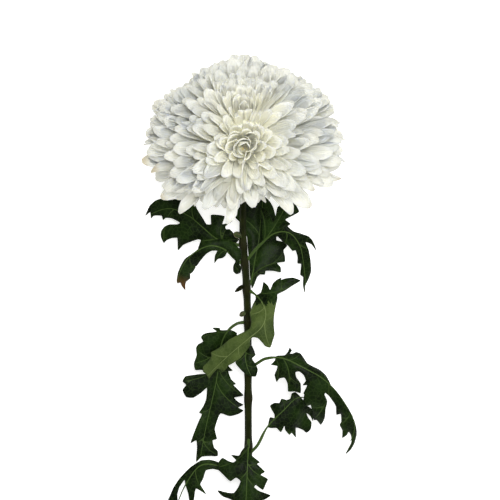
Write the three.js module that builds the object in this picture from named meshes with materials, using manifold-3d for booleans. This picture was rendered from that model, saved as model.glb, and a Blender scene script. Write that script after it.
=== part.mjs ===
// A zembla chrysanthemum: one cut stem with a large white head, laid on a table.
//
// Units are millimetres and +Z is up. The flower lies along Y, with the head at +Y, and what a
// person looking straight down on it sees is its front. The table is the plane z = 0. The head
// rests on the florets that its own weight presses flat, and the stem rests on its cut end.
//
// A petal, a stalk and the stem are each lofted: a row of closed rings along a curve. A leaf's
// blade is a flat plate with the leaf's outline, bent onto its rib.

import * as THREE from 'three';
import { mergeVertices } from 'three/addons/utils/BufferGeometryUtils.js';
import Module from 'manifold-3d';

const wasm = await Module();
wasm.setup();

const { clamp, degToRad, euclideanModulo, lerp, radToDeg, smoothstep } = THREE.MathUtils;

// Driving dimensions

const GAP = 0.3;                       // clearance between two pieces that touch
const MERGE = 1e-3;                    // points nearer than this are one point
const TABLE = 0;                       // height of the surface the flower lies on
const TABLE_SIZE = 1000;               // more than twice the flower's length
const GOLDEN_TURN = degToRad(137.508); // turn from one floret to the next

const HEAD = {
  height: 44,                // centre of the receptacle above the table
  tilt: degToRad(45),        // the head's axis leans this far from straight up towards +Y
  spiralTilt: degToRad(21),  // so does the axis of the spiral that the florets stand in
  heartTilt: degToRad(38),   // the upper florets part from the heart,
  hollowTilt: degToRad(1),   // the lower ones from a hollow that looks straight up
  heartRadius: 50,           // from the centre to the floret tips, in the sunken heart
  shoulderRadius: 67,        // the same on the shoulder
  widestRadius: 70.5,        // the same where the head is widest
  rimRadius: 62,             // the same at the drooping rim
  shoulderPolar: degToRad(48),
  widestPolar: degToRad(80),
  rimPolar: degToRad(99),
  spiralPolar: degToRad(123),
  places: 172,               // in the spiral; those beyond the rim stay empty
  seed: 7,
};

const HOLLOW = {
  clear: degToRad(7),        // no floret has its tip nearer to the middle than this,
  ring: degToRad(11.5),      // and a tip nearer than this is moved outwards
  profile: [[0, 34], [4, 37], [9, 43], [16, 54], [0, 54]],   // [from its axis, from the centre]
  sides: 12,
};

// How far the florets reach from the head's centre as the viewer sees it: [turn in degrees, reach]
const HEAD_OUTLINE = [
  [0, 68], [18, 66], [30, 67], [42, 62], [60, 60], [80, 61], [87, 64], [97, 64], [103, 61],
  [130, 60], [142, 61], [157, 68], [180, 66], [193, 62], [202, 56], [217, 47], [232, 42],
  [248, 36], [270, 30], [280, 33], [303, 34], [314, 41], [331, 46], [342, 54], [350, 61],
  [360, 67],
];

const FLORET = {
  heartWidth: 6.5,
  rimWidth: 12.5,
  youngWithin: degToRad(36), // florets this near to the heart are narrower and stand straighter
  ribThickness: 1.1,
  edgeThickness: 0.7,
  rootRadius: 9,             // the receptacle that it grows from
  rootSpread: 0.8,           // its root stands nearer to the axis than its tip, by this share
  bowRadius: 0.62,           // how far out it bows, as a share of its tip's distance
  farBend: degToRad(14),     // florets rise, then droop: those beyond the heart less,
  nearBend: degToRad(30),    // those on the viewer's side more,
  bowPolar: degToRad(5),     // and none bows nearer to its axis than this
  heartCup: 0.4,             // depth of the trough, as a share of half the width
  rimCup: 0.26,
  hook: 6,                   // how far the tip turns up, beyond the heart
  hookStart: 0.7,
  heartStart: 0.55,          // where a floret leaves the core, along its length
  rimStart: 0.3,
  stations: [0, 0.45, 0.8, 1],   // its rings, from there to the tip
  widths: [0.75, 1, 0.92, 0.45],
  shortest: 0.72,            // the outline makes no floret shorter than this share of its length
};

// How much one floret differs from the next: each is drawn evenly around its middle value
const VARIATION = { length: 0.06, width: 0.16, lean: 0.1, twist: 0.4 };

// Old florets that have gone their own way: the tip from the head's centre, width, twist, and
// bend in degrees
const STRAYS = [
  { tip: [-7.5, 65, 2], width: 8, twist: 0.1, bend: 6 },
  { tip: [5.5, 65, 0], width: 11, twist: -0.1, bend: 6 },
  { tip: [68, 6, 12], width: 7, twist: 0.6, bend: 14 },
  { tip: [66, -12.5, 14], width: 8.5, twist: -0.8, bend: 16 },
  { tip: [60, -21.5, 22], width: 11.5, twist: 0.2, bend: 14 },
  { tip: [47, -27, 36], width: 8, twist: 0.5, bend: 20 },
  { tip: [45.5, -35.5, 30], width: 11.5, twist: -0.3, bend: 18 },
  { tip: [31.5, -42, 36], width: 10, twist: 0.4, bend: 22 },
  { tip: [7, -37, 48], width: 11, twist: -0.2, bend: 26 },
  { tip: [-13.5, -47.5, 40], width: 9, twist: 0.5, bend: 22 },
  { tip: [-28, -38, 42], width: 10, twist: 0.3, bend: 24 },
  { tip: [-43, -41.5, 24], width: 9, twist: -0.5, bend: 20 },
  { tip: [-56.5, -29, 20], width: 10, twist: 0.3, bend: 16 },
  { tip: [-61.5, -16, 22], width: 9, twist: -0.7, bend: 16 },
  { tip: [-68, -3.5, 10], width: 10, twist: 0.4, bend: 12 },
];

// The table bends the lowest florets until they lie along it, and its pressure flattens them
const PRESS = { soft: 3, sink: 0.55, flatBelow: 1, freeAbove: 9 };

const CORE = {
  share: 0.74,               // of the way from the centre to the floret tips
  backHeight: -4.5,
  backRadius: 14,
  edgePolar: degToRad(84),
  steps: 7,
  sides: 22,
};

// The green cup behind the head. Points are [distance to the axis, height above the cup's top].
const INVOLUCRE = {
  profile: [[0, -16], [3, -15], [8.6, -8], [13, -2], [13, 0]],
  sides: 18,
  bractWidth: 5.2,
  bractThickness: 1.1,
  bractOutline: [[0, 0.8], [0.6, 1], [1, 0.2]],
  rows: [
    { bracts: 7, root: [5.4, -12.6], tip: [11.4, -4.8] },
    { bracts: 11, root: [9.2, -8], tip: [14.4, -1.4] },
  ],
};

const STEM = {
  radius: 2.45,
  neckRadius: 2.2,
  neckEnd: -20,              // it thickens between these places along Y
  fullFrom: -90,
  ridges: 6,
  ridgeDepth: 0.22,
  nodeSwell: 0.75,
  nodeLength: 4.5,
  step: 12,
};

// The stem's route, from the involucre to the cut end
const STEM_ROUTE = [
  [0, -10, 34.4], [-0.2, -18, 27.6], [-0.6, -26, 24.8], [-0.8, -40, 23.4], [-0.8, -60, 23],
  [1.6, -90, 21.5], [2.6, -120, 19.5], [2.8, -160, 16.6], [3.0, -205, 13.2],
  [3.6, -260, 9.2], [4.6, -310, 5.4], [5.6, -350, 2.05],
];

// Distances along -Y at which a leaf leaves the stem
const STEM_NODES = [-63, -76, -94, -117, -150, -170, -204, -224, -268, -318];

// Each leaf: its rib from the stem to the tip, where the blade starts on the rib, and how many
// degrees each side of the blade is folded out of the flat. Left and right are those of someone
// who walks along the rib. Curl is how far the blade droops with its distance from the rib. The
// outline is the blade's margin as the viewer sees it.
const LEAVES = [
  {
    name: 'leaf_upper_left',
    rib: [[-1, -64, 22.6], [-10, -62, 22], [-19, -59, 20], [-30, -50, 17], [-38, -43.5, 15],
      [-52, -38, 12], [-69, -43, 8]],
    bladeStart: 0.18, foldLeft: -6, foldRight: 6, curl: 0.1,
    outline: [
      [-3.5, -59.5], [-7, -55.5], [-10, -52.5], [-12.5, -52.5], [-13, -50.5], [-8, -47], [-15, -49],
      [-13.5, -43.5], [-18.5, -42.5], [-23, -42.5], [-23, -49], [-26, -49], [-28.5, -45], [-32, -39.5],
      [-35.5, -33.5], [-45, -32], [-54, -30.5], [-61, -32], [-65.5, -35.5], [-67.5, -39.5], [-69, -43],
      [-65.5, -40.5], [-65, -45], [-63, -43], [-57.5, -43], [-56.5, -46], [-54.5, -44.5], [-50, -45],
      [-44.5, -48], [-46.5, -49], [-52, -49], [-55.5, -50.5], [-58, -54], [-58, -58], [-56, -62],
      [-54, -60], [-50, -58.5], [-46.5, -58.5], [-46, -67], [-42.5, -63.5], [-38, -61.5], [-32, -59.5],
      [-30, -60], [-32, -66.5], [-26, -65.5], [-19, -63], [-12.5, -62], [-5.5, -62],
    ],
  },
  {
    name: 'leaf_arched_left',
    rib: [[-0.4, -77, 22.2], [-6, -73, 25], [-12.5, -67, 29], [-23, -64, 32], [-36, -70, 28],
      [-44.5, -82, 17], [-47, -94, 7]],
    bladeStart: 0.22, foldLeft: -10, foldRight: -10, curl: 0.15,
    outline: [
      [-8, -61], [-13, -59.5], [-19, -59.5], [-24, -61], [-28, -63.5], [-32, -66.5], [-36, -69.5],
      [-41, -73], [-43.5, -77], [-46, -82.5], [-47, -88], [-46.5, -90], [-44.5, -89.5], [-43.5, -92],
      [-41, -95], [-41, -91], [-40.5, -89], [-37.5, -86.5], [-37.5, -83.5], [-35.5, -82],
      [-33.5, -78.5], [-35.5, -77], [-33, -78], [-30, -74], [-26, -69.5], [-22.5, -67.5],
      [-18.5, -67.5], [-20, -70.5], [-20.5, -76], [-18, -73], [-15, -72.5], [-13, -71], [-11, -67.5],
      [-9, -71], [-6, -74.5], [-7.5, -78], [-7.5, -81.5], [-5.5, -83.5], [-2.5, -82.5], [-2, -79],
      [-3.5, -76], [-2, -71.5], [-2.5, -67], [-5.5, -63.5],
    ],
  },
  {
    name: 'leaf_upper_right',
    rib: [[2, -96, 21.2], [5.5, -86, 14], [7.5, -74, 9], [10, -62, 7.5], [11.6, -46, 6.5],
      [13, -31, 5.5], [12, -16, 4.5]],
    bladeStart: 0.14, foldLeft: 0, foldRight: 2, curl: 0.05,
    outline: [
      [5.5, -93.5], [7, -91], [9, -86], [11, -84], [14.5, -84], [15, -81.5], [20.5, -81.5],
      [25.5, -82.5], [25.5, -79], [23, -76], [28.5, -75], [28.5, -71.5], [27.5, -67], [30, -64],
      [26.5, -61], [22.5, -60], [23, -49], [20.5, -37.5], [18, -33], [12.5, -28], [7, -28.5], [2, -33],
      [-2.5, -36], [-5.5, -40.5], [-6, -44.5], [-2.5, -48], [0, -53.5], [2, -58], [2.5, -65.5],
      [3.5, -75], [4, -84.5],
    ],
  },
  {
    name: 'leaf_dark_right',
    rib: [[0.6, -76, 22.2], [5, -70, 25], [12.5, -62, 29], [22, -55, 34], [31, -55, 36],
      [38, -63, 32], [41.5, -78, 22], [43, -95, 9]],
    bladeStart: 0.22, foldLeft: -8, foldRight: -20, curl: 0.15,
    outline: [
      [23, -57.5], [19, -60], [13.5, -61], [12.5, -56], [12.5, -50.5], [11, -43.5], [11, -37.5],
      [15, -39], [18, -43.5], [20, -48], [22, -42.5], [23, -37.5], [27.5, -34], [31.5, -30.5],
      [35.5, -35.5], [38, -40.5], [34, -43], [28.5, -46], [32, -49], [30, -50.5], [34, -54],
      [39, -55.5], [44.5, -57.5], [47, -60], [49, -64], [50, -67.5], [46.5, -63], [42.5, -61.5],
      [44.5, -66.5], [46, -74], [46.5, -81.5], [45, -86.5], [42.5, -92], [42.5, -97], [41, -91.5],
      [41, -85.5], [39, -84], [39.5, -76.5], [37, -76], [37, -71.5], [35.5, -67], [33.5, -67.5],
      [30.5, -64], [27.5, -62],
    ],
  },
  {
    name: 'leaf_folded_front',
    rib: [[2, -94, 21.3], [8, -98, 26], [13, -104, 31], [15, -112, 35], [12, -120, 37],
      [3, -128, 35], [-12, -141, 27], [-27, -156, 13]],
    bladeStart: 0.06, foldLeft: 4, foldRight: -4, curl: 0.12, showsBack: true,
    outline: [
      [8, -98.5], [11.5, -96.5], [12.5, -93.5], [13.5, -89], [16.5, -91.5], [18, -94.5], [20, -90],
      [22.5, -87.5], [26, -86], [25.5, -87.5], [28.5, -86.5], [34, -86], [39, -88], [33.5, -91.5],
      [28, -95], [23, -97.5], [23, -100.5], [22, -105], [21, -110], [20.5, -114.5], [20.5, -119],
      [21, -125], [20, -128.5], [18, -134], [14.5, -133], [12.5, -130.5], [9.5, -127.5], [6, -127],
      [4, -129], [4, -133], [1.5, -136.5], [-2.5, -141.5], [-7.5, -145], [-11, -147], [-12.5, -149.5],
      [-15, -151.5], [-15.5, -150.5], [-18, -149], [-22, -153], [-24.5, -156.5], [-26.5, -153],
      [-28.5, -151.5], [-28.5, -148], [-25.5, -145], [-22.5, -140.5], [-23, -138], [-18, -135],
      [-14.5, -132.5], [-10, -128.5], [-3.5, -125], [4, -121], [5, -116], [4, -110.5], [6, -105],
      [8, -101],
    ],
  },
  {
    name: 'leaf_hanging_left',
    rib: [[2, -117, 19.7], [-5, -118, 21], [-12, -124, 19], [-16.5, -135, 14.5], [-18, -150, 11],
      [-21, -166, 8.5], [-26.5, -190, 6], [-31, -214, 4]],
    bladeStart: 0.15, foldLeft: -2, foldRight: 2, curl: 0.05,
    outline: [
      [-5, -124.5], [-9, -122.5], [-12.5, -122.5], [-16.5, -122.5], [-17, -121], [-22, -121],
      [-19, -123.5], [-26, -124.5], [-28.5, -125.5], [-30, -127.5], [-28.5, -130.5], [-32, -132.5],
      [-33.5, -135], [-33, -140], [-35, -146], [-34, -150.5], [-29.5, -150.5], [-26, -153],
      [-31.5, -153.5], [-41, -155], [-43, -158.5], [-40.5, -161], [-43, -164.5], [-40.5, -169.5],
      [-35.5, -170], [-30, -166.5], [-26, -163], [-26.5, -171], [-28.5, -176], [-31.5, -180.5],
      [-29.5, -181.5], [-32, -187], [-34, -192], [-37.5, -202], [-33.5, -200], [-33, -205],
      [-33.5, -215], [-29.5, -211.5], [-24, -211], [-18.5, -211], [-18.5, -207.5], [-21, -205],
      [-22, -200], [-19, -199], [-20.5, -192], [-18.5, -185], [-16.5, -181], [-10, -183], [-4, -181.5],
      [-0.5, -179], [-4, -177], [-0.5, -175], [-4, -173], [-7, -170], [-0.5, -168.5], [-4, -164.5],
      [-7.5, -161], [-5.5, -160.5], [-9, -157], [-11, -151.5], [-8, -151], [-11, -147.5], [-9, -142],
      [-8, -135], [-5.5, -128.5],
    ],
  },
  {
    name: 'leaf_small_front',
    rib: [[2.6, -134, 20.5], [1.5, -137, 24.4], [1, -142, 25.4], [2.5, -149, 25.3],
      [5, -154, 24.5]],
    bladeStart: 0.25, foldLeft: 0, foldRight: 0, curl: 0.1,
    outline: [
      [5, -132.5], [8, -139.5], [5.5, -142], [7.5, -145], [9.5, -149.5], [8, -154.5], [2, -153.5],
      [-2.5, -149.5], [-6, -145], [-3.5, -139.5], [0, -134.5],
    ],
  },
  {
    name: 'leaf_arching_right',
    rib: [[3, -150, 17.4], [9, -145.5, 22], [15, -142, 27], [26, -141.4, 33], [41, -148, 36],
      [56, -157, 33], [69, -172, 26], [77, -190, 14], [71, -208, 4.5]],
    bladeStart: 0.19, foldLeft: -40, foldRight: -6, curl: 0.14,
    outline: [
      [22.5, -140], [28, -139.5], [30, -137.5], [31.5, -134.5], [33, -136.5], [31.5, -138.5],
      [33.5, -138.5], [36, -137.5], [39, -138.5], [41.5, -142], [43.5, -145], [48, -147.5],
      [52, -149.5], [56, -153], [58.5, -157], [60, -160.5], [65, -166], [70.5, -174], [75, -181.5],
      [78, -190], [78.5, -195.5], [77, -202], [74.5, -206.5], [71, -209.5], [73, -205.5], [75, -201],
      [74.5, -196], [73, -193.5], [71.5, -196], [68.5, -198], [68.5, -192.5], [66.5, -188.5],
      [67.5, -186.5], [67, -180.5], [64, -181], [63.5, -175], [61.5, -171.5], [58.5, -167.5],
      [56, -165.5], [55.5, -166.5], [57.5, -171.5], [56.5, -177], [56, -183.5], [53.5, -188.5],
      [50.5, -185], [48.5, -185], [47, -179], [46, -174], [43, -175], [41, -171], [41.5, -166.5],
      [41, -165.5], [43.5, -160], [40.5, -160], [42.5, -157], [41, -153], [38, -150.5], [35.5, -151],
      [36, -154.5], [39, -159], [39, -165.5], [35, -164.5], [30.5, -164.5], [30, -159], [28, -155],
      [24.5, -155.5], [22.5, -158], [21, -153], [22.5, -149.5], [23, -147], [18.5, -146], [21, -143.5],
    ],
  },
  {
    name: 'leaf_lower_right',
    rib: [[3, -209, 12.9], [9, -203, 17], [16, -190, 19], [28, -177.6, 20], [37, -169.5, 20.5],
      [45, -170.5, 18.5], [50.5, -178, 13], [53, -188, 7.5]],
    bladeStart: 0.26, foldLeft: -10, foldRight: -10, curl: 0.1,
    outline: [
      [16.5, -190], [17, -186], [18, -183], [21, -183.5], [21, -181], [19, -177.5], [18, -175],
      [21, -173], [24.5, -173], [26, -170], [29.5, -171], [32, -170], [33, -166.5], [35.5, -165.5],
      [38, -167.5], [41, -171], [43.5, -175], [46.5, -177], [48, -181], [48, -186.5], [46, -182.5],
      [43.5, -180.5], [44.5, -183.5], [47, -187], [46.5, -192], [43.5, -194.5], [41, -192.5],
      [36, -190.5], [36, -197.5], [33, -194], [31.5, -195.5], [28.5, -192], [28, -189], [25.5, -193.5],
      [22.5, -190.5], [19, -190.5],
    ],
  },
  {
    name: 'leaf_lower_front',
    rib: [[3, -196, 13.9], [3, -203, 19], [2.5, -212, 23.5], [2, -226, 25], [1.2, -242, 24],
      [-1, -258, 21.5], [-5, -275, 17]],
    bladeStart: 0.12, foldLeft: -2, foldRight: -2, curl: 0.06,
    outline: [
      [2, -201.5], [0, -205], [-1.5, -207.5], [-4, -209.5], [-9, -209], [-5.5, -212.5], [-7.5, -214],
      [-11, -213], [-15, -211], [-18, -214.5], [-18.5, -218.5], [-14.5, -222.5], [-9.5, -227],
      [-5.5, -224.5], [-2.5, -227], [-4, -231], [-7, -235], [-11, -235], [-18.5, -233.5],
      [-15, -237.5], [-9.5, -239.5], [-5, -242], [-4, -247], [-11, -249.5], [-16.5, -254], [-10, -258],
      [-4, -257.5], [-5, -263.5], [-9.5, -269], [-5.5, -272], [-5, -276.5], [-0.5, -272], [4, -270],
      [7, -265], [5, -260], [8, -257.5], [16.5, -255.5], [13.5, -250.5], [7, -246], [7.5, -241],
      [12.5, -240.5], [18.5, -237], [10, -233.5], [7, -231], [8, -229.5], [13, -233], [15, -229],
      [16.5, -225.5], [11.5, -222.5], [14.5, -220.5], [9, -215], [11, -214], [5, -209], [4, -205],
    ],
  },
  {
    name: 'leaf_lower_left',
    rib: [[3.2, -224, 11.8], [-5, -221, 14], [-14, -218, 16.5], [-29, -216, 18], [-40, -229, 14],
      [-48, -248, 8], [-54, -268, 4]],
    bladeStart: 0.24, foldLeft: -6, foldRight: -6, curl: 0.08,
    outline: [
      [-12.5, -218.5], [-18.5, -214], [-24, -212.5], [-30, -213], [-37.5, -218], [-45, -226],
      [-49, -232], [-52, -239], [-55.5, -246], [-59.5, -250.5], [-55.5, -252], [-57.5, -259.5],
      [-54, -268.5], [-50, -261.5], [-45, -259], [-48, -253.5], [-46, -246], [-46.5, -237.5],
      [-45, -232], [-41.5, -227], [-41, -230], [-39, -236.5], [-37.5, -246.5], [-35, -241],
      [-33.5, -233], [-26.5, -237], [-30.5, -230], [-28.5, -226], [-26.5, -220], [-22, -219],
      [-16.5, -220],
    ],
  },
];

const LEAF = {
  thickness: 0.7,
  facetLength: 7,             // the blade is cut into facets no longer than this,
  flatness: 0.2,              // and those that lie this flat are joined again
  steepest: 2,                // a steep blade is thickened upwards by up to this
  ribSteps: 10,
  ribSides: 4,
  ribEnd: 0.93,               // the rib fades out before the tip
  ribWidth: 1.5,
  ribThickness: 1.6,
  ribTaper: 0.6,              // how much smaller the rib is at its end
  petioleWidth: 2.5,
  petioleThickness: 2.3,
  samples: 60,                // places on the rib that carry the blade's height
  curlLength: 20,
  slopeStep: 0.5,
};

const STIPULE = { thickness: 0.9, outline: [[0, 0.7], [0.35, 1], [0.7, 0.7], [1, 0.2]] };
const STIPULES = [        // small pointed stipules: root, tip, width
  { root: [-1, -92, 21.8], tip: [-6.5, -96, 25], width: 3 },
  { root: [3.2, -119.5, 20], tip: [8.5, -116, 22.5], width: 2.6 },
  { root: [2.6, -204, 14], tip: [-3, -209, 18.5], width: 2.6 },
];

const BUD = {
  sides: 8,
  outline: [[0, 0.42], [0.3, 0.42], [0.45, 0.9], [0.65, 1], [0.85, 0.7], [1, 0.15]],
};
const BUDS = [                // dormant buds in the axils: root, tip, greatest radius
  { name: 'bud_upper', root: [-0.8, -58, 23.4], tip: [-7, -55.5, 29.5], radius: 2.2 },
  { name: 'bud_lower', root: [2.2, -109, 20.6], tip: [-3, -112.5, 25], radius: 1.6 },
];

const COLOURS = {
  petal: { color: 0xf0efe4, roughness: 0.6 },
  leaf: { color: 0x1d3512, roughness: 0.5 },
  underside: { color: 0x48592d, roughness: 0.6 },
  stem: { color: 0x2f3a18, roughness: 0.55 },
  bract: { color: 0x3d5423, roughness: 0.6 },
};

// Small helpers

function seededRandom(seed) {
  let state = seed >>> 0;
  return () => {
    state = (Math.imul(state, 1664525) + 1013904223) >>> 0;
    return state / 4294967296;
  };
}

function vector(list) {
  return new THREE.Vector3(...list);
}

function smoothCurve(points) {
  return new THREE.CatmullRomCurve3(points.map(vector), false, 'centripetal');
}

// Skin a row of rings that all have as many points, and close both ends with a fan
function loft(rings) {
  const sides = rings[0].length;
  const positions = rings.flat().flatMap((p) => [p.x, p.y, p.z]);
  const index = [];
  for (let ring = 0; ring + 1 < rings.length; ring += 1) {
    for (let side = 0; side < sides; side += 1) {
      const next = (side + 1) % sides;
      const a = ring * sides + side;
      const b = ring * sides + next;
      index.push(a, a + sides, b);
      index.push(b, a + sides, b + sides);
    }
  }
  const last = (rings.length - 1) * sides;
  for (let side = 1; side + 1 < sides; side += 1) {
    index.push(0, side, side + 1);
    index.push(last, last + side + 1, last + side);
  }
  const geometry = new THREE.BufferGeometry();
  geometry.setAttribute('position', new THREE.Float32BufferAttribute(positions, 3));
  geometry.setIndex(index);
  return geometry;
}

function toSolid(geometry) {
  const bare = geometry.clone();
  bare.deleteAttribute('normal');
  bare.deleteAttribute('uv');
  const merged = mergeVertices(bare, MERGE);
  return new wasm.Manifold(new wasm.Mesh({
    numProp: 3,
    vertProperties: new Float32Array(merged.attributes.position.array),
    triVerts: new Uint32Array(merged.index.array),
  }));
}

function meshOf(solid) {
  const mesh = solid.getMesh();
  const geometry = new THREE.BufferGeometry();
  geometry.setAttribute('position', new THREE.BufferAttribute(mesh.vertProperties, 3));
  geometry.setIndex(new THREE.BufferAttribute(mesh.triVerts, 1));
  return geometry;
}

// Keep the main body alone: it leaves out loose scraps, and fills what a join has sealed in.
// Bodies that only touch at a point or an edge come apart one pass later.
function mainBody(geometry) {
  let main = geometry;
  let bodies = [];
  do {
    bodies = toSolid(main).decompose();
    main = meshOf(bodies.reduce((best, body) => (body.volume() > best.volume() ? body : best)));
  } while (bodies.length > 1);
  return main;
}

// The cross-section of a flat bar
function barRing(centre, right, up, width, thickness) {
  return [[1, 1], [-1, 1], [-1, -1], [1, -1]].map(([side, face]) => centre.clone()
    .addScaledVector(right, side * width / 2)
    .addScaledVector(up, face * thickness / 2));
}

// The cross-section of a round bar, with a radius for each side
function roundRing(centre, right, up, sides, radiusAt) {
  return Array.from({ length: sides }, (_, side) => {
    const angle = side * 2 * Math.PI / sides;
    return centre.clone()
      .addScaledVector(right, radiusAt(side) * Math.cos(angle))
      .addScaledVector(up, radiusAt(side) * Math.sin(angle));
  });
}

// The square frame of a curve at one place: along it, out of it towards the sky, and to its right
function frameAlong(curve, place) {
  const centre = curve.getPointAt(place);
  const along = curve.getTangentAt(place);
  const up = new THREE.Vector3(0, 0, 1).addScaledVector(along, -along.z).normalize();
  const right = new THREE.Vector3().crossVectors(along, up);
  return { centre, along, up, right };
}

// The head

const headCentre = new THREE.Vector3(0, 0, HEAD.height);

// The square frame of an axis that leans from straight up towards +Y
function axesAt(tilt) {
  const axis = new THREE.Vector3(0, Math.sin(tilt), Math.cos(tilt));
  const side = new THREE.Vector3(1, 0, 0);
  return { axis, side, back: new THREE.Vector3().crossVectors(axis, side) };
}

const headAxes = axesAt(HEAD.tilt);
const spiralAxes = axesAt(HEAD.spiralTilt);
const hollowAxes = axesAt(HEAD.hollowTilt);
const heartAxes = axesAt(HEAD.heartTilt);

// A point of the head, from its distance to an axis, its height along it and its turn round it
function headPoint(axes, distance, height, turn) {
  return headCentre.clone()
    .addScaledVector(axes.axis, height)
    .addScaledVector(axes.side, distance * Math.cos(turn))
    .addScaledVector(axes.back, distance * Math.sin(turn));
}

// The direction round an axis, at a turn
function roundAxis(axes, turn) {
  return new THREE.Vector3()
    .addScaledVector(axes.side, -Math.sin(turn))
    .addScaledVector(axes.back, Math.cos(turn));
}

// Each floret parts from the axis between hollow and heart that is nearest to it
function nearestAxes(direction) {
  const tilt = Math.atan2(direction.y, direction.z);
  return axesAt(clamp(tilt, HEAD.hollowTilt, HEAD.heartTilt));
}

// Rows of [place, value], read between its rows
function valueAt(table, place) {
  const next = Math.max(1, table.findIndex(([at]) => at >= place));
  const [before, low] = table[next - 1];
  const [after, high] = table[next];
  return lerp(low, high, (place - before) / (after - before));
}

// How far the floret tips are from the centre, by their angle from the axis
function headRadius(polar) {
  const shoulder = smoothstep(polar, 0, HEAD.shoulderPolar);
  const widest = smoothstep(polar, HEAD.shoulderPolar, HEAD.widestPolar);
  const rim = smoothstep(polar, HEAD.widestPolar, HEAD.rimPolar);
  return lerp(HEAD.heartRadius, HEAD.shoulderRadius, shoulder)
    + widest * (HEAD.widestRadius - HEAD.shoulderRadius)
    + rim * (HEAD.rimRadius - HEAD.widestRadius);
}

// What would pass through the table lies along it instead
function pressed(point) {
  const height = point.z - TABLE + PRESS.sink;
  point.z = TABLE - PRESS.sink + (height + Math.hypot(height, PRESS.soft)) / 2 - PRESS.soft / 4;
  return point;
}

// Tips keep out of the hollow: those in its ring move outwards
function clearOfHollow(direction) {
  const angle = direction.angleTo(hollowAxes.axis);
  if (angle >= HOLLOW.ring) return direction;
  const away = direction.clone()
    .addScaledVector(hollowAxes.axis, -direction.dot(hollowAxes.axis)).normalize();
  const moved = HOLLOW.ring + (angle - HOLLOW.clear) / 3;
  return hollowAxes.axis.clone().multiplyScalar(Math.cos(moved))
    .addScaledVector(away, Math.sin(moved));
}

// No tip reaches further than the head's outline, as the viewer sees it
function withinOutline(direction, radius) {
  const turn = radToDeg(Math.atan2(direction.y, direction.x));
  const reach = valueAt(HEAD_OUTLINE, euclideanModulo(turn, 360));
  const seen = radius * Math.hypot(direction.x, direction.y);
  return radius * clamp(reach / seen, FLORET.shortest, 1);
}

// One floret, whose tip lies in a direction from the head's centre
function floretSolid(direction, { radius, width, bend, cup, hook, lean, twist, start }) {
  const axes = nearestAxes(direction);
  const polar = direction.angleTo(axes.axis);
  const turn = Math.atan2(direction.dot(axes.back), direction.dot(axes.side));
  const bow = polar - Math.min(bend, Math.max(0, polar - FLORET.bowPolar));

  // In the plane through the axis: root, bow and tip, as [distance, height]
  const at = (reach, angle) => new THREE.Vector2(reach * Math.sin(angle), reach * Math.cos(angle));
  const path = new THREE.QuadraticBezierCurve(
    at(FLORET.rootRadius, polar * FLORET.rootSpread),
    at(radius * FLORET.bowRadius, bow),
    at(radius, polar));

  const rings = FLORET.stations.map((share, station) => {
    const place = lerp(start, 1, share);
    const point = path.getPoint(place);
    const tangent = path.getTangent(place);
    const rise = hook * Math.max(0, (place - FLORET.hookStart) / (1 - FLORET.hookStart)) ** 2;
    const distance = point.x - tangent.y * rise;
    const height = point.y + tangent.x * rise;
    const turned = turn + lean * place;
    const centre = pressed(headPoint(axes, distance, height, turned));
    const across = roundAxis(axes, turned);
    const face = headPoint(axes, -tangent.y, tangent.x, turned).sub(headCentre);
    const along = new THREE.Vector3().crossVectors(face, across);
    const free = smoothstep(centre.z, TABLE + PRESS.flatBelow, TABLE + PRESS.freeAbove);
    across.applyAxisAngle(along, twist * place * free);
    face.applyAxisAngle(along, twist * place * free);
    if (free < 1) {
      face.lerp(new THREE.Vector3(0, 0, 1), 1 - free).normalize();
    }
    const half = width / 2 * FLORET.widths[station];
    const edge = (side, thickness) => centre.clone()
      .addScaledVector(across, side * half)
      .addScaledVector(face, Math.abs(side) * cup * half * free + thickness / 2);
    return [
      edge(-1, FLORET.edgeThickness), edge(0, FLORET.ribThickness), edge(1, FLORET.edgeThickness),
      edge(1, -FLORET.edgeThickness), edge(0, -FLORET.ribThickness), edge(-1, -FLORET.edgeThickness),
    ];
  });
  return toSolid(loft(rings));
}

// The florets of the spiral, from its places that lie between hollow and rim
function spiralFlorets() {
  const random = seededRandom(HEAD.seed);
  const drawn = (spread) => (random() - 0.5) * spread;
  const florets = [];
  for (let number = 0; number < HEAD.places; number += 1) {
    const order = (number + 0.5) / HEAD.places;
    const polar = Math.acos(1 - order * (1 - Math.cos(HEAD.spiralPolar)));
    const even = headPoint(spiralAxes, Math.sin(polar), Math.cos(polar), number * GOLDEN_TURN)
      .sub(headCentre);
    const fromAxis = even.angleTo(headAxes.axis);
    if (fromAxis > HEAD.rimPolar || even.angleTo(hollowAxes.axis) < HOLLOW.clear) continue;
    const direction = clearOfHollow(even);
    const outward = smoothstep(direction.angleTo(heartAxes.axis), 0, FLORET.youngWithin);
    const axes = nearestAxes(direction);
    const turn = Math.atan2(direction.dot(axes.back), direction.dot(axes.side));
    const far = (1 + Math.sin(turn)) / 2;
    const radius = headRadius(fromAxis) * (1 + drawn(VARIATION.length));
    florets.push(floretSolid(direction, {
      radius: withinOutline(direction, radius),
      width: lerp(FLORET.heartWidth, FLORET.rimWidth, outward) * (1 + drawn(VARIATION.width)),
      bend: outward * lerp(FLORET.nearBend, FLORET.farBend, far),
      cup: lerp(FLORET.heartCup, FLORET.rimCup, outward),
      hook: FLORET.hook * far * outward,
      lean: drawn(VARIATION.lean),
      twist: drawn(VARIATION.twist),
      start: lerp(FLORET.heartStart, FLORET.rimStart, outward),
    }));
  }
  return florets;
}

function straySolid({ tip, width, twist, bend }) {
  const reach = vector(tip);
  return floretSolid(reach.clone().normalize(), {
    radius: reach.length(), width, twist, bend: degToRad(bend),
    cup: FLORET.heartCup, hook: 0, lean: 0, start: FLORET.rimStart,
  });
}

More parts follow.
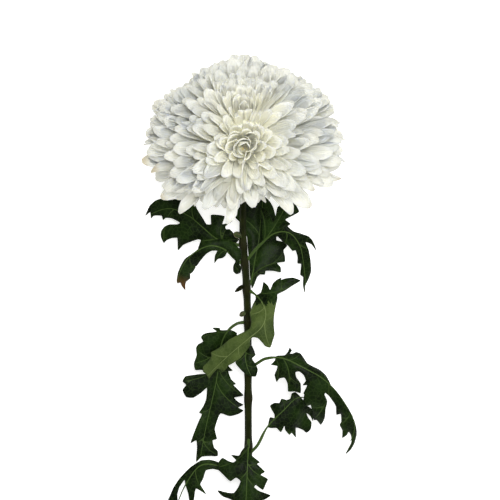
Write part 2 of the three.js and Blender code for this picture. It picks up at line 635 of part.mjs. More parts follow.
// The core fills the head where the florets' lower halves stand too close to tell apart
function coreSolid() {
  const profile = [new THREE.Vector2(0, CORE.backHeight)];
  profile.push(new THREE.Vector2(CORE.backRadius, CORE.backHeight));
  for (let step = 0; step <= CORE.steps; step += 1) {
    const polar = lerp(CORE.edgePolar, 0, step / CORE.steps);
    const radius = CORE.share * headRadius(polar);
    profile.push(new THREE.Vector2(radius * Math.sin(polar), radius * Math.cos(polar)));
  }
  profile[profile.length - 1].x = 0;
  const filling = toSolid(alongAxis(new THREE.LatheGeometry(profile, CORE.sides), headAxes));
  return filling.subtract(hollowSolid());
}

// The filling dips below the hollow
function hollowSolid() {
  const profile = HOLLOW.profile.map(([distance, height]) => new THREE.Vector2(distance, height));
  return toSolid(alongAxis(new THREE.LatheGeometry(profile, HOLLOW.sides), hollowAxes));
}

// A lathe turns round Y: stand it on one of the head's axes instead
function alongAxis(geometry, { axis }) {
  const turn = new THREE.Quaternion().setFromUnitVectors(new THREE.Vector3(0, 1, 0), axis);
  geometry.applyQuaternion(turn);
  geometry.translate(headCentre.x, headCentre.y, headCentre.z);
  return geometry;
}

function tableCut(solid) {
  const slab = new THREE.BoxGeometry(TABLE_SIZE, TABLE_SIZE, TABLE_SIZE);
  slab.translate(0, 0, TABLE - TABLE_SIZE / 2);
  return solid.subtract(toSolid(slab));
}

function bloomSolid() {
  const joined = wasm.Manifold.union([
    coreSolid(), ...spiralFlorets(), ...STRAYS.map(straySolid)]);
  return tableCut(joined).subtract(cupSolid(GAP));
}

// The involucre's cup, grown by a clearance where a neighbour has to be cut to it
function cupSolid(grown) {
  const top = CORE.backHeight - GAP;
  const profile = INVOLUCRE.profile.map(([distance, height], point) => new THREE.Vector2(
    distance + (point > 0 ? grown : 0),
    top + height + (height < 0 ? -grown : grown)));
  profile.push(new THREE.Vector2(0, top + grown));
  return toSolid(alongAxis(new THREE.LatheGeometry(profile, INVOLUCRE.sides), headAxes));
}

// One bract: a pointed scale that lies on the cup, with its root sunk into it
function bractSolid(row, turn) {
  const top = CORE.backHeight - GAP;
  const root = headPoint(headAxes, row.root[0], top + row.root[1], turn);
  const tip = headPoint(headAxes, row.tip[0], top + row.tip[1], turn);
  const across = roundAxis(headAxes, turn);
  const outward = new THREE.Vector3().crossVectors(across, tip.clone().sub(root)).normalize();
  return toSolid(loft(INVOLUCRE.bractOutline.map(([place, share]) => barRing(
    root.clone().lerp(tip, place), across, outward,
    INVOLUCRE.bractWidth * share, INVOLUCRE.bractThickness))));
}

function involucreSolid() {
  const bracts = INVOLUCRE.rows.flatMap((row, rowNumber) =>
    Array.from({ length: row.bracts }, (_, number) =>
      bractSolid(row, (number + rowNumber / 2) * 2 * Math.PI / row.bracts)));
  return wasm.Manifold.union([cupSolid(0), ...bracts]);
}

// The stem

const stemCurve = smoothCurve(STEM_ROUTE);

function stemRadius(point) {
  const fromNeck = smoothstep(-point.y, -STEM.neckEnd, -STEM.fullFrom);
  const swell = STEM_NODES
    .map((node) => Math.exp(-(((point.y - node) / STEM.nodeLength) ** 2)))
    .reduce((sum, value) => sum + value, 0);
  return lerp(STEM.neckRadius, STEM.radius, fromNeck) + STEM.nodeSwell * swell;
}

// The stem's rings, grown by a clearance where a neighbour has to be cut to it
function stemSolid(grown) {
  const rings = [];
  const count = Math.round(stemCurve.getLength() / STEM.step);
  for (let step = 0; step <= count; step += 1) {
    const { centre, up, right } = frameAlong(stemCurve, step / count);
    const radius = stemRadius(centre) + grown;
    rings.push(roundRing(centre, right, up, STEM.ridges * 2,
      (side) => radius - (side % 2) * STEM.ridgeDepth));
  }
  return toSolid(loft(rings));
}

function stipuleSolid({ root, tip, width }) {
  const curve = smoothCurve([root, tip]);
  return toSolid(loft(STIPULE.outline.map(([place, share]) => {
    const { centre, up, right } = frameAlong(curve, place);
    return barRing(centre, right, up, width * share, STIPULE.thickness);
  })));
}

function wholeStemSolid() {
  const whole = wasm.Manifold.union([stemSolid(0), ...STIPULES.map(stipuleSolid)]);
  return tableCut(whole).subtract(cupSolid(GAP));
}

// The leaves

// The rib, seen from above: points with their height and the direction to their right
function ribSamples(leaf, curve) {
  return Array.from({ length: LEAF.samples + 1 }, (_, sample) => {
    const { centre, right } = frameAlong(curve, lerp(leaf.bladeStart, 1, sample / LEAF.samples));
    const length = Math.hypot(right.x, right.y);
    return { centre, rightX: right.x / length, rightY: right.y / length };
  });
}

// The blade's height at a place, carried by the rib nearby: each point of the rib would lay the
// blade a little differently, and the nearest have most to say
function bladeHeight(leaf, samples, x, y) {
  let sum = 0;
  let total = 0;
  for (const { centre, rightX, rightY } of samples) {
    const dx = x - centre.x;
    const dy = y - centre.y;
    const off = dx * rightX + dy * rightY;
    const fold = Math.tan(degToRad(off < 0 ? leaf.foldLeft : leaf.foldRight));
    const weight = (dx * dx + dy * dy + 1) ** -2.5;
    total += weight;
    sum += weight * (centre.z + fold * Math.abs(off) - leaf.curl * off * off / LEAF.curlLength);
  }
  return sum / total;
}

// A flat plate with the leaf's outline, bent onto the rib
function bladeSolid(leaf, curve) {
  const plate = new wasm.CrossSection([leaf.outline], 'NonZero').extrude(LEAF.thickness)
    .refineToLength(LEAF.facetLength);
  const samples = ribSamples(leaf, curve);
  const heightAt = (x, y) => bladeHeight(leaf, samples, x, y);
  return plate.warp((point) => {
    const [x, y, z] = point;
    const height = heightAt(x, y);
    const slopeX = (heightAt(x + LEAF.slopeStep, y) - height) / LEAF.slopeStep;
    const slopeY = (heightAt(x, y + LEAF.slopeStep) - height) / LEAF.slopeStep;
    const stretch = Math.min(LEAF.steepest, Math.hypot(1, slopeX, slopeY));
    point[2] = height + (z - LEAF.thickness / 2) * stretch;
  }).simplify(LEAF.flatness);
}

// The petiole and the midrib in one: a bar that gets flatter where the blade starts
function ribSolid(leaf, curve) {
  return toSolid(loft(Array.from({ length: LEAF.ribSteps + 1 }, (_, step) => {
    const place = LEAF.ribEnd * step / LEAF.ribSteps;
    const { centre, up, right } = frameAlong(curve, place);
    const blade = smoothstep(place, leaf.bladeStart / 2, leaf.bladeStart);
    const taper = 1 - LEAF.ribTaper * place;
    const width = lerp(LEAF.petioleWidth, LEAF.ribWidth * taper, blade);
    const thickness = lerp(LEAF.petioleThickness, LEAF.ribThickness * taper, blade);
    const below = centre.addScaledVector(up, LEAF.thickness / 2 - thickness / 2);
    return roundRing(below, right, up, LEAF.ribSides, () => 1).map((point) => {
      const offset = point.sub(below);
      return below.clone()
        .addScaledVector(right, offset.dot(right) * width / 2)
        .addScaledVector(up, offset.dot(up) * thickness / 2);
    });
  })));
}

function leafSolid(leaf) {
  const curve = smoothCurve(leaf.rib);
  return tableCut(bladeSolid(leaf, curve).add(ribSolid(leaf, curve)));
}

// The buds: an egg on a short stalk
function budSolid({ root, tip, radius }) {
  const curve = smoothCurve([root, tip]);
  return toSolid(loft(BUD.outline.map(([place, share]) => {
    const { centre, up, right } = frameAlong(curve, place);
    return roundRing(centre, right, up, BUD.sides, () => radius * share);
  })));
}

// The whole flower

const stemRoom = stemSolid(GAP);
const pieces = [
  { name: 'bloom', solid: bloomSolid(), finish: COLOURS.petal },
  { name: 'involucre', solid: involucreSolid(), finish: COLOURS.bract },
  { name: 'stem', solid: wholeStemSolid(), finish: COLOURS.stem },
  ...LEAVES.map((leaf) => ({
    name: leaf.name,
    solid: leafSolid(leaf).subtract(stemRoom),
    finish: leaf.showsBack ? COLOURS.underside : COLOURS.leaf,
  })),
  ...BUDS.map((bud) => ({
    name: bud.name,
    solid: budSolid(bud).subtract(stemRoom),
    finish: COLOURS.bract,
  })),
];

// The origin is on the table, below the middle of the flower's box
const box = new THREE.Box3();
for (const { solid } of pieces) {
  const { min, max } = solid.boundingBox();
  box.expandByPoint(vector(min)).expandByPoint(vector(max));
}
const middle = box.getCenter(new THREE.Vector3());

const flower = new THREE.Group();
flower.name = 'zembla_chrysanthemum';
for (const { name, solid, finish } of pieces) {
  const geometry = mainBody(meshOf(solid).translate(-middle.x, -middle.y, -TABLE));
  geometry.computeVertexNormals();
  const material = new THREE.MeshStandardMaterial({ ...finish, metalness: 0, flatShading: true });
  const mesh = new THREE.Mesh(geometry, material);
  mesh.name = name;
  flower.add(mesh);
}

export default flower;
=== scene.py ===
# %% [markdown]
# # A cut white chrysanthemum
# The object is one decorative chrysanthemum: a domed head of several hundred white ray florets on
# a bent, ridged stem with dark lobed leaves. It lies on a table, and the camera looks down on it.
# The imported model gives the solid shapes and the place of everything. This script makes the fine
# surfaces over them: thin cupped florets, veined leaves, a ridged stem.

# %% Load the frame
import math
import random

import bpy
import numpy as np
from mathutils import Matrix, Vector
from mathutils.geometry import delaunay_2d_cdt


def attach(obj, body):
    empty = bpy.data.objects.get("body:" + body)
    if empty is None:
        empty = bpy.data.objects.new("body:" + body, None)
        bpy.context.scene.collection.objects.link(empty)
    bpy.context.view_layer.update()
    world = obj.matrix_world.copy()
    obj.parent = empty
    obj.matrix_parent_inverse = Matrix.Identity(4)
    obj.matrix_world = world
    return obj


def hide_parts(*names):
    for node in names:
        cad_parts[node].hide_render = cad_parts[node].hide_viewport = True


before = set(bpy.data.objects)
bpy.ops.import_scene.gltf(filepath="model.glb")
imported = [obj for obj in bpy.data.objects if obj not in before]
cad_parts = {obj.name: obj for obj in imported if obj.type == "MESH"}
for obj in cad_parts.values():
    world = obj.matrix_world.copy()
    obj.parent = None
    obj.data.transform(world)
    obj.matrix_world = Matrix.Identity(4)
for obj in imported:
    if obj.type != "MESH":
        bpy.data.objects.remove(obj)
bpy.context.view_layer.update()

MM = 0.001
HEAD_CENTRE = np.array([-4.75, 141.06, 44.0])
HEAD_IN_PLAN = HEAD_CENTRE * [1.0, 1.0, 0.0]      # the place on the table below it
TABLE = 0.0

# %% [markdown]
# ## The camera
# The photograph looks at the upright flower from its front. The flower is laid on its back here,
# so the same view is straight down. A long lens far away keeps the petals' proportions, and the
# lower stem runs out of the frame's lower edge, as it does in the photograph.

# %% Camera
VIEW_CENTRE = Vector(HEAD_CENTRE + [4.1, -66.9, 6.0]) * MM
VIEW_WIDTH = 341.5 * MM
LENS = 200.0
SENSOR = 36.0

camera_data = bpy.data.cameras.new("camera")
camera_data.lens = LENS
camera_data.sensor_width = SENSOR
camera = bpy.data.objects.new("camera", camera_data)
camera.location = VIEW_CENTRE + Vector((0.0, 0.0, VIEW_WIDTH * LENS / SENSOR))
bpy.context.scene.collection.objects.link(camera)
bpy.context.scene.camera = camera
print("camera height, m:", round(camera.location.z, 3))

# %% [markdown]
# ## Small tools
# Petals, bracts and bud scales are thin sheets: a grid of points with a thickness. The stem, the
# stalks and the buds are rings along a line. So two ways to make faces are enough for all but the
# leaves' blades: one skins a grid on both sides and closes its rim, the other skins rings.

# %% Grids and rings
def unit(vectors):
    return vectors / np.linalg.norm(vectors, axis=-1, keepdims=True)


def smooth_step(value, low, high):
    share = np.clip((value - low) / (high - low), 0.0, 1.0)
    return share * share * (3.0 - 2.0 * share)


def mix(low, high, share):
    return low + (high - low) * share


def cubic(start, end, leave, arrive, share):
    """A curve between two points with given ways of leaving the one and reaching the other."""
    return (start + share * leave
            + share ** 2 * (-3 * start + 3 * end - 2 * leave - arrive)
            + share ** 3 * (2 * start - 2 * end + leave + arrive))


def sheet_places(rows, columns):
    """Where a sheet's points lie: along it from 0 to 1, and across it from -1 to 1."""
    return np.linspace(0.0, 1.0, rows)[:, None], np.linspace(-1.0, 1.0, columns)[None, :]


def full_turn(count):
    return np.linspace(0.0, 2 * math.pi, count, endpoint=False)[None, :]


def beside_line(centre, right, up, aside, above):
    """Rows of points beside a line, by how far they are to its right and above it."""
    return (centre[:, None, :] + aside[..., None] * right[:, None, :]
            + above[..., None] * up[:, None, :])


class Body:
    """Collects points, faces and named values for one mesh."""

    def __init__(self):
        self.points = []
        self.faces = []
        self.slots = []
        self.values = {}
        self.count = 0

    def add(self, points, faces, slots=None, **values):
        self.points.append(points)
        self.faces += [[corner + self.count for corner in face] for face in faces]
        self.slots += slots or [0] * len(faces)
        for name, value in values.items():
            self.values.setdefault(name, []).append(np.broadcast_to(value, len(points)))
        self.count += len(points)


def sheet_faces(rows, columns):
    """Faces of a closed thin sheet: its upper grid, its lower grid, and the rim between them."""
    def upper(row, column):
        return row * columns + column

    def lower(row, column):
        return rows * columns + row * columns + column

    top = []
    bottom = []
    for row in range(rows - 1):
        for column in range(columns - 1):
            corners = [(row, column), (row, column + 1), (row + 1, column + 1), (row + 1, column)]
            top.append([upper(*corner) for corner in corners])
            bottom.append([lower(*corner) for corner in reversed(corners)])
    border = [(0, column) for column in range(columns - 1)]
    border += [(row, columns - 1) for row in range(rows - 1)]
    border += [(rows - 1, column) for column in range(columns - 1, 0, -1)]
    border += [(row, 0) for row in range(rows - 1, 0, -1)]
    rim = []
    for here, there in zip(border, border[1:] + border[:1]):
        rim.append([upper(*there), upper(*here), lower(*here), lower(*there)])
    return top + bottom + rim


def sheet_normals(grid):
    across = np.gradient(grid, axis=1)
    along = np.gradient(grid, axis=0)
    return unit(np.cross(across, along))


def add_sheet(body, grid, half_thickness, **values):
    """Adds a closed thin sheet; values are given for the grid's points."""
    rows, columns = grid.shape[:2]
    offset = sheet_normals(grid) * np.broadcast_to(half_thickness, (rows, columns))[..., None]
    points = np.concatenate([(grid + offset).reshape(-1, 3), (grid - offset).reshape(-1, 3)])
    doubled = {name: np.tile(np.broadcast_to(value, (rows, columns)).ravel(), 2)
               for name, value in values.items()}
    body.add(points, sheet_faces(rows, columns), **doubled)


def add_rings(body, rings, **values):
    """Adds a closed bar from rings that turn the same way round."""
    count, sides = rings.shape[:2]
    faces = []
    for ring in range(count - 1):
        for side in range(sides):
            after = (side + 1) % sides
            faces.append([ring * sides + side, (ring + 1) * sides + side,
                          (ring + 1) * sides + after, ring * sides + after])
    faces.append(list(range(sides)))
    faces.append([(count - 1) * sides + side for side in reversed(range(sides))])
    flat = {name: np.broadcast_to(value, (count, sides)).ravel()
            for name, value in values.items()}
    body.add(rings.reshape(-1, 3), faces, **flat)


def make_piece(name, body, materials, node):
    """Turns a body, in the part's millimetres, into a piece that replaces a node of the CAD."""
    mesh = bpy.data.meshes.new(name)
    mesh.from_pydata((np.concatenate(body.points) * MM).tolist(), [], body.faces)
    for value_name, parts in body.values.items():
        attribute = mesh.attributes.new(value_name, "FLOAT", "POINT")
        attribute.data.foreach_set("value", np.concatenate(parts).astype(np.float32))
    mesh.polygons.foreach_set("material_index", body.slots)
    mesh.polygons.foreach_set("use_smooth", [True] * len(mesh.polygons))
    for material in materials:
        mesh.materials.append(material)
    mesh.update()
    piece = bpy.data.objects.new(name, mesh)
    bpy.context.scene.collection.objects.link(piece)
    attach(piece, "root")
    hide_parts(node)
    triangles = sum(len(face) - 2 for face in body.faces)
    print(f"{name}: {triangles} triangles, replaces {node}")


# %% [markdown]
# ## Smooth lines
# A stem or a leaf's rib is a smooth line through a few points. The line is measured along its
# length, so that "0.5" is really halfway, and it carries a square frame: along the line, out of it
# towards the sky, and to its right.

# %% Lines through points
class Line:
    """A smooth line through points, as the CAD source draws it, measured along its length."""

    SAMPLES = 60              # from each point to the next
    REACH = 0.6               # millimetres to either side that give the line's direction

    def __init__(self, points):
        points = np.array(points, float)
        ends = (2 * points[0] - points[1], 2 * points[-1] - points[-2])
        padded = np.vstack([ends[0], points, ends[1]])
        steps = np.sqrt(np.linalg.norm(np.diff(padded, axis=0), axis=1))
        share = np.linspace(0.0, 1.0, self.SAMPLES, endpoint=False)[:, None]
        spots = []
        for number in range(len(points) - 1):
            before, start, end, after = padded[number:number + 4]
            step_before, step, step_after = steps[number:number + 3]
            leave = ((start - before) / step_before - (end - before) / (step_before + step)
                     + (end - start) / step) * step
            arrive = ((end - start) / step - (after - start) / (step + step_after)
                      + (after - end) / step_after) * step
            spots.append(cubic(start, end, leave, arrive, share))
        self.spots = np.vstack([*spots, points[-1:]])
        lengths = np.linalg.norm(np.diff(self.spots, axis=0), axis=1)
        self.at = np.concatenate([[0.0], np.cumsum(lengths)])
        self.length = self.at[-1]

    def point(self, place):
        reach = np.clip(place, 0.0, 1.0) * self.length
        return np.stack([np.interp(reach, self.at, self.spots[:, axis]) for axis in range(3)], -1)

    def frame(self, place):
        place = np.asarray(place, float)
        step = self.REACH / self.length
        along = unit(self.point(place + step) - self.point(place - step))
        sky = np.array([0.0, 0.0, 1.0])
        up = unit(sky - along * along[..., 2:3])
        right = np.cross(along, up)
        return self.point(place), along, up, right


# %% [markdown]
# ## Finishes: effects that several materials share
# Living surfaces are never one flat colour. Three effects come back on petals, leaves and stem,
# so each is a node group with its own inputs. Mottling mixes two colours with soft noise. Fine ribs
# raise lines that run along a piece. A vein is a soft line where a measured distance is near zero.

# %% Node helpers
def put(tree, kind, inputs=None, **settings):
    """Adds a node; an input is fed by another node's socket, or set to a number or colour."""
    node = tree.nodes.new(kind)
    for name, value in settings.items():
        setattr(node, name, value)
    for name, value in (inputs or {}).items():
        if isinstance(value, bpy.types.NodeSocket):
            tree.links.new(value, node.inputs[name])
        else:
            node.inputs[name].default_value = value
    return node


def calc(tree, operation, first, second=0.0):
    return put(tree, "ShaderNodeMath", {0: first, 1: second}, operation=operation).outputs[0]


def colour_mix(tree, factor, first, second):
    mixed = put(tree, "ShaderNodeMix", {0: factor, 6: first, 7: second}, data_type="RGBA")
    return mixed.outputs[2]


def layered(tree, colour, *layers):
    """Lays colours over a first one, each where its mask is."""
    for mask, tint in layers:
        colour = colour_mix(tree, mask, colour, tint)
    return colour


def remap(tree, value, low, high, to_low=0.0, to_high=1.0):
    return put(
        tree, "ShaderNodeMapRange",
        {"Value": value, "From Min": low, "From Max": high, "To Min": to_low, "To Max": to_high},
        interpolation_type="SMOOTHSTEP").outputs["Result"]


def measured(tree, name):
    """A value that the mesh carries, such as the distance from a leaf's rib."""
    return put(tree, "ShaderNodeAttribute", attribute_name=name).outputs["Fac"]


def own_place(tree):
    return put(tree, "ShaderNodeTexCoord").outputs["Object"]


def noise(tree, scale, detail=2.0):
    inputs = {"Vector": own_place(tree), "Scale": scale, "Detail": detail}
    return put(tree, "ShaderNodeTexNoise", inputs).outputs["Fac"]


def new_group(name, inputs, outputs):
    """A node group whose sockets have the kind of their first values: a colour or a number."""
    group = bpy.data.node_groups.new(name, "ShaderNodeTree")
    for way, sockets in (("INPUT", inputs), ("OUTPUT", outputs)):
        for socket_name, value in sockets.items():
            kind = "NodeSocketColor" if isinstance(value, tuple) else "NodeSocketFloat"
            socket = group.interface.new_socket(socket_name, in_out=way, socket_type=kind)
            socket.default_value = value
    group_in = group.nodes.new("NodeGroupInput").outputs
    return group, group_in, group.nodes.new("NodeGroupOutput").inputs


def use_group(tree, group, **inputs):
    """Adds a group; in the name of an input, an underscore stands for a space."""
    named = {name.replace("_", " "): value for name, value in inputs.items()}
    return put(tree, "ShaderNodeGroup", named, node_tree=group).outputs


# %% Mottling
WHITE = (1.0, 1.0, 1.0, 1.0)
BLACK = (0.0, 0.0, 0.0, 1.0)
BROAD_DETAIL = 3.0
BLOTCH_FROM, BLOTCH_TO = 0.35, 0.65      # a narrow band of the noise gives clear blotches
FINE_SHARE = 0.35

mottling, group_in, group_out = new_group(
    "mottling", {"Dark": BLACK, "Light": WHITE, "Scale": 100.0, "Fine Scale": 900.0},
    {"Color": WHITE, "Height": 0.0})
broad = noise(mottling, group_in["Scale"], BROAD_DETAIL)
fine = noise(mottling, group_in["Fine Scale"])
blotch = remap(mottling, broad, BLOTCH_FROM, BLOTCH_TO)
mottling.links.new(colour_mix(mottling, blotch, group_in["Dark"], group_in["Light"]),
                   group_out["Color"])
mottling.links.new(calc(mottling, "ADD", broad, calc(mottling, "MULTIPLY", fine, FINE_SHARE)),
                   group_out["Height"])

# %% Fine ribs
WAVER_SCALE = 120.0

fine_ribs, group_in, group_out = new_group(
    "fine ribs", {"Across": 0.0, "Count": 5.0, "Unevenness": 0.15}, {"Height": 0.0})
waver = calc(fine_ribs, "MULTIPLY", noise(fine_ribs, WAVER_SCALE), group_in["Unevenness"])
shifted = calc(fine_ribs, "ADD", group_in["Across"], waver)
turns = calc(fine_ribs, "MULTIPLY", shifted,
             calc(fine_ribs, "MULTIPLY", group_in["Count"], math.pi))
wave = calc(fine_ribs, "ABSOLUTE", calc(fine_ribs, "COSINE", turns))
fine_ribs.links.new(wave, group_out["Height"])

# %% Veins
vein, group_in, group_out = new_group(
    "vein", {"Distance": 0.0, "Half Width": 0.4, "Softness": 0.3}, {"Mask": 0.0})
far = calc(vein, "ABSOLUTE", group_in["Distance"])
inner = calc(vein, "MULTIPLY", group_in["Half Width"],
             calc(vein, "SUBTRACT", 1.0, group_in["Softness"]))
outer = calc(vein, "ADD", group_in["Half Width"],
             calc(vein, "MULTIPLY", group_in["Half Width"], group_in["Softness"]))
vein.links.new(remap(vein, far, inner, outer, 1.0, 0.0), group_out["Mask"])
print("node groups:", [group.name for group in bpy.data.node_groups])


# %% Material helpers
def new_material(name, roughness, **settings):
    """A material with one Principled shader; what is the same all over is set on its sockets."""
    material = bpy.data.materials.new(name)
    material.use_nodes = True
    shader = material.node_tree.nodes["Principled BSDF"]
    shader.inputs["Roughness"].default_value = roughness
    for socket, value in settings.items():
        shader.inputs[socket.replace("_", " ")].default_value = value
    return material, material.node_tree, shader


def clothe(tree, shader, colour, height, distance, strength):
    """Gives a shader its colour, and its relief from a height."""
    tree.links.new(colour, shader.inputs["Base Color"])
    relief = put(tree, "ShaderNodeBump",
                 {"Height": height, "Distance": distance, "Strength": strength})
    tree.links.new(relief.outputs["Normal"], shader.inputs["Normal"])


# %% [markdown]
# ## The petals' finish
# A ray floret is thin, milky and faintly grooved. It is white where it sees light, cream lower
# down, and yellow at its root, because the young tissue there has less air in it. Its sides and
# tip are painted greyer: painted shade for the dark rims where a hooded tip turns from the light.
# Old florets at the rim turn brown at their tips. The colour follows values that each floret
# carries: how far along it a point is, how near the heart it stands, and how brown it has gone.

# %% Petal material
PETAL_COOL = (0.59, 0.61, 0.56, 1.0)
PETAL_WARM = (0.72, 0.715, 0.61, 1.0)
PETAL_CREAM = (0.98, 0.965, 0.80, 1.0)
PETAL_ROOT = (0.60, 0.42, 0.07, 1.0)
# Painted shade: the grey laid over each floret's sides and tip, for the dark rims of hooded tips
PETAL_MARGIN_SHADE = (0.42, 0.43, 0.39, 1.0)
PETAL_BROWN = (0.40, 0.29, 0.15, 1.0)
# How strongly the painted rim shade greys a floret's sides and tip
MARGIN_SHADE_STRENGTH = 0.4
BROWN_REACH, BROWN_FRAYING = 0.45, 0.12
# Where each colour begins and where it is full, in the values that the florets carry
CREAM_BAND, ROOT_BAND, BROWN_BAND, MARGIN_SHADE_BAND = (-0.1, 0.7), (1.15, 2.0), (0.95, 1.1), (0.88, 1.0)

petal_material, tree, shader = new_material(
    "petal", 0.55, Subsurface_Weight=0.55, Subsurface_Scale=0.007,
    Subsurface_Radius=(1.0, 0.9, 0.6), Specular_IOR_Level=0.3)
along, across, depth = (measured(tree, name) for name in ("along", "across", "depth"))
mottled = use_group(tree, mottling, Dark=PETAL_COOL, Light=PETAL_WARM, Scale=60.0,
                    Fine_Scale=1400.0)
ribs = use_group(tree, fine_ribs, Across=across, Count=3.5)
# Painted shade: nearness to a floret's sides or tip, where the grey rim shade is laid
edge = calc(tree, "MAXIMUM", calc(tree, "ABSOLUTE", across), along)
browned = calc(tree, "ADD", along, calc(tree, "MULTIPLY", measured(tree, "brown"), BROWN_REACH))
browned = calc(tree, "SUBTRACT", browned,
               calc(tree, "MULTIPLY", mottled["Height"], BROWN_FRAYING))
colour = layered(
    tree, mottled["Color"],
    (remap(tree, depth, *CREAM_BAND), PETAL_CREAM),
    (remap(tree, depth, *ROOT_BAND), PETAL_ROOT),
    (remap(tree, browned, *BROWN_BAND), PETAL_BROWN),
    (remap(tree, edge, *MARGIN_SHADE_BAND, 0.0, MARGIN_SHADE_STRENGTH), PETAL_MARGIN_SHADE))
height = calc(tree, "ADD", ribs["Height"], calc(tree, "MULTIPLY", mottled["Height"], 0.25))
clothe(tree, shader, colour, height, 0.0003, 0.6)

# %% [markdown]
# ## The leaves' finish
# The upper side is a deep, slightly glossy green with paler sunken veins. The underside is paler,
# greyer and matt, with raised veins. Both follow the same measured values: the distance from the
# midrib and from the nearest side vein, in millimetres.

# %% Leaf materials
LEAF_BROWN = (0.09, 0.045, 0.015, 1.0)
MIDRIB_HALF, SIDE_VEIN_HALF = 0.5, 0.34      # millimetres
NET_SCALE, NET_HALF, NET_STRENGTH = 330.0, 0.05, 0.2


def leaf_material(name, dark, light, vein_colour, roughness, specular, vein_height):
    material, tree, shader = new_material(name, roughness, Specular_IOR_Level=specular)
    mottled = use_group(tree, mottling, Dark=dark, Light=light, Scale=70.0, Fine_Scale=1100.0)
    midrib = use_group(tree, vein, Distance=measured(tree, "off_rib"),
                       Half_Width=MIDRIB_HALF, Softness=0.4)
    side = use_group(tree, vein, Distance=measured(tree, "off_vein"),
                     Half_Width=SIDE_VEIN_HALF, Softness=0.5)
    net = put(tree, "ShaderNodeTexVoronoi", {"Vector": own_place(tree), "Scale": NET_SCALE},
              feature="DISTANCE_TO_EDGE")
    small = use_group(tree, vein, Distance=net.outputs["Distance"], Half_Width=NET_HALF,
                      Softness=0.8)
    fading = remap(tree, measured(tree, "edge"), 0.35, 1.0, 0.75, 0.25)
    lesser = calc(tree, "MAXIMUM", calc(tree, "MULTIPLY", side["Mask"], fading),
                  calc(tree, "MULTIPLY", small["Mask"], NET_STRENGTH))
    mask = calc(tree, "MAXIMUM", midrib["Mask"], lesser)
    colour = layered(tree, mottled["Color"], (mask, vein_colour),
                     (measured(tree, "brown"), LEAF_BROWN))
    height = calc(tree, "ADD", calc(tree, "MULTIPLY", mask, vein_height),
                  calc(tree, "MULTIPLY", mottled["Height"], 0.5))
    clothe(tree, shader, colour, height, 0.0005, 0.7)
    return material


leaf_top = leaf_material(
    "leaf upper side", dark=(0.002, 0.005, 0.001, 1.0), light=(0.009, 0.022, 0.003, 1.0),
    vein_colour=(0.050, 0.085, 0.020, 1.0), roughness=0.38, specular=0.05, vein_height=-0.8)
leaf_under = leaf_material(
    "leaf underside", dark=(0.028, 0.048, 0.008, 1.0), light=(0.062, 0.092, 0.020, 1.0),
    vein_colour=(0.12, 0.16, 0.05, 1.0), roughness=0.6, specular=0.12, vein_height=0.9)

# %% [markdown]
# ## The stem's finish
# The stem is green with fine pale and brownish streaks along its ridges, and it is stained
# purple-brown round the knots where leaves stand. The bracts and buds are a lighter green with
# papery brown margins.

# %% Stem and bract materials
STEM_DARK = (0.003, 0.004, 0.0008, 1.0)
STEM_LIGHT = (0.011, 0.014, 0.002, 1.0)
STEM_STREAK = (0.022, 0.030, 0.005, 1.0)
STEM_KNOT = (0.012, 0.006, 0.005, 1.0)
KNOT_STRENGTH, STREAK_STRENGTH = 0.8, 0.7
BRACT_DARK = (0.020, 0.035, 0.007, 1.0)
BRACT_LIGHT = (0.055, 0.085, 0.020, 1.0)
BRACT_MARGIN = (0.16, 0.12, 0.06, 1.0)

stem_material, tree, shader = new_material("stem", 0.45, Specular_IOR_Level=0.04)
mottled = use_group(tree, mottling, Dark=STEM_DARK, Light=STEM_LIGHT, Scale=90.0,
                    Fine_Scale=900.0)
ribs = use_group(tree, fine_ribs, Across=measured(tree, "across"), Count=13.0)
streak = remap(tree, ribs["Height"], 0.72, 1.0, 0.0, STREAK_STRENGTH)
colour = layered(tree, mottled["Color"],
                 (calc(tree, "MULTIPLY", measured(tree, "knot"), KNOT_STRENGTH), STEM_KNOT),
                 (streak, STEM_STREAK))
height = calc(tree, "ADD", ribs["Height"], mottled["Height"])
clothe(tree, shader, colour, height, 0.0002, 0.6)

bract_material, tree, shader = new_material("bract", 0.6, Specular_IOR_Level=0.25)
mottled = use_group(tree, mottling, Dark=BRACT_DARK, Light=BRACT_LIGHT, Scale=200.0,
                    Fine_Scale=1500.0)
across = measured(tree, "across")
papery = remap(tree, calc(tree, "ABSOLUTE", across), 0.7, 1.0)
colour = layered(tree, mottled["Color"], (papery, BRACT_MARGIN))
ribs = use_group(tree, fine_ribs, Across=across, Count=3.0)
clothe(tree, shader, colour, ribs["Height"], 0.0003, 0.5)
print("materials:", [material.name for material in bpy.data.materials])

# %% [markdown]
# ## The head
# The florets stand on a small receptacle in a spiral, each turned from the last by the golden
# angle, which packs them evenly. A floret is drawn in a plane through an axis, as a curve from root
# to bow to tip. A young head has one axis. This one has opened unevenly: its upper florets part
# from the heart, its lower ones from a hollow that looks at the viewer, and those between lean out
# to the sides. So a floret parts from heart or hollow, or if it stands far aside, from the place
# between them that is nearest to it. The envelope of the tips is the CAD's, and so is the way the
# table presses the lowest ones.

# %% The head's shape
def tilted_axes(tilt):
    axis = np.array([0.0, math.sin(tilt), math.cos(tilt)])
    side = np.array([1.0, 0.0, 0.0])
    return axis, side, np.cross(axis, side)


HEAD = tilted_axes(math.radians(45))
SPIRAL = tilted_axes(math.radians(21))
HOLLOW_TILT, HEART_TILT = math.radians(1), math.radians(38)
HEART_AXIS, HOLLOW_AXIS = (tilted_axes(tilt)[0] for tilt in (HEART_TILT, HOLLOW_TILT))
PARTING_FROM, PARTING_TO = 0.6, 0.75      # where florets change from hollow to heart
ASIDE_FROM, ASIDE_TO = 0.12, 0.45         # how far aside this change is sharp, and is none
HOLLOW_CLEAR, HOLLOW_RING = math.radians(2.5), math.radians(7)
RING_SPREAD = 0.3
HEART_RADIUS, SHOULDER_RADIUS, WIDEST_RADIUS, RIM_RADIUS = 50.0, 67.0, 70.5, 62.0
SHOULDER, WIDEST, RIM = (math.radians(angle) for angle in (48, 80, 99))
GOLDEN_TURN = math.radians(137.508)
PRESS_SOFT, PRESS_SINK = 3.0, 0.4
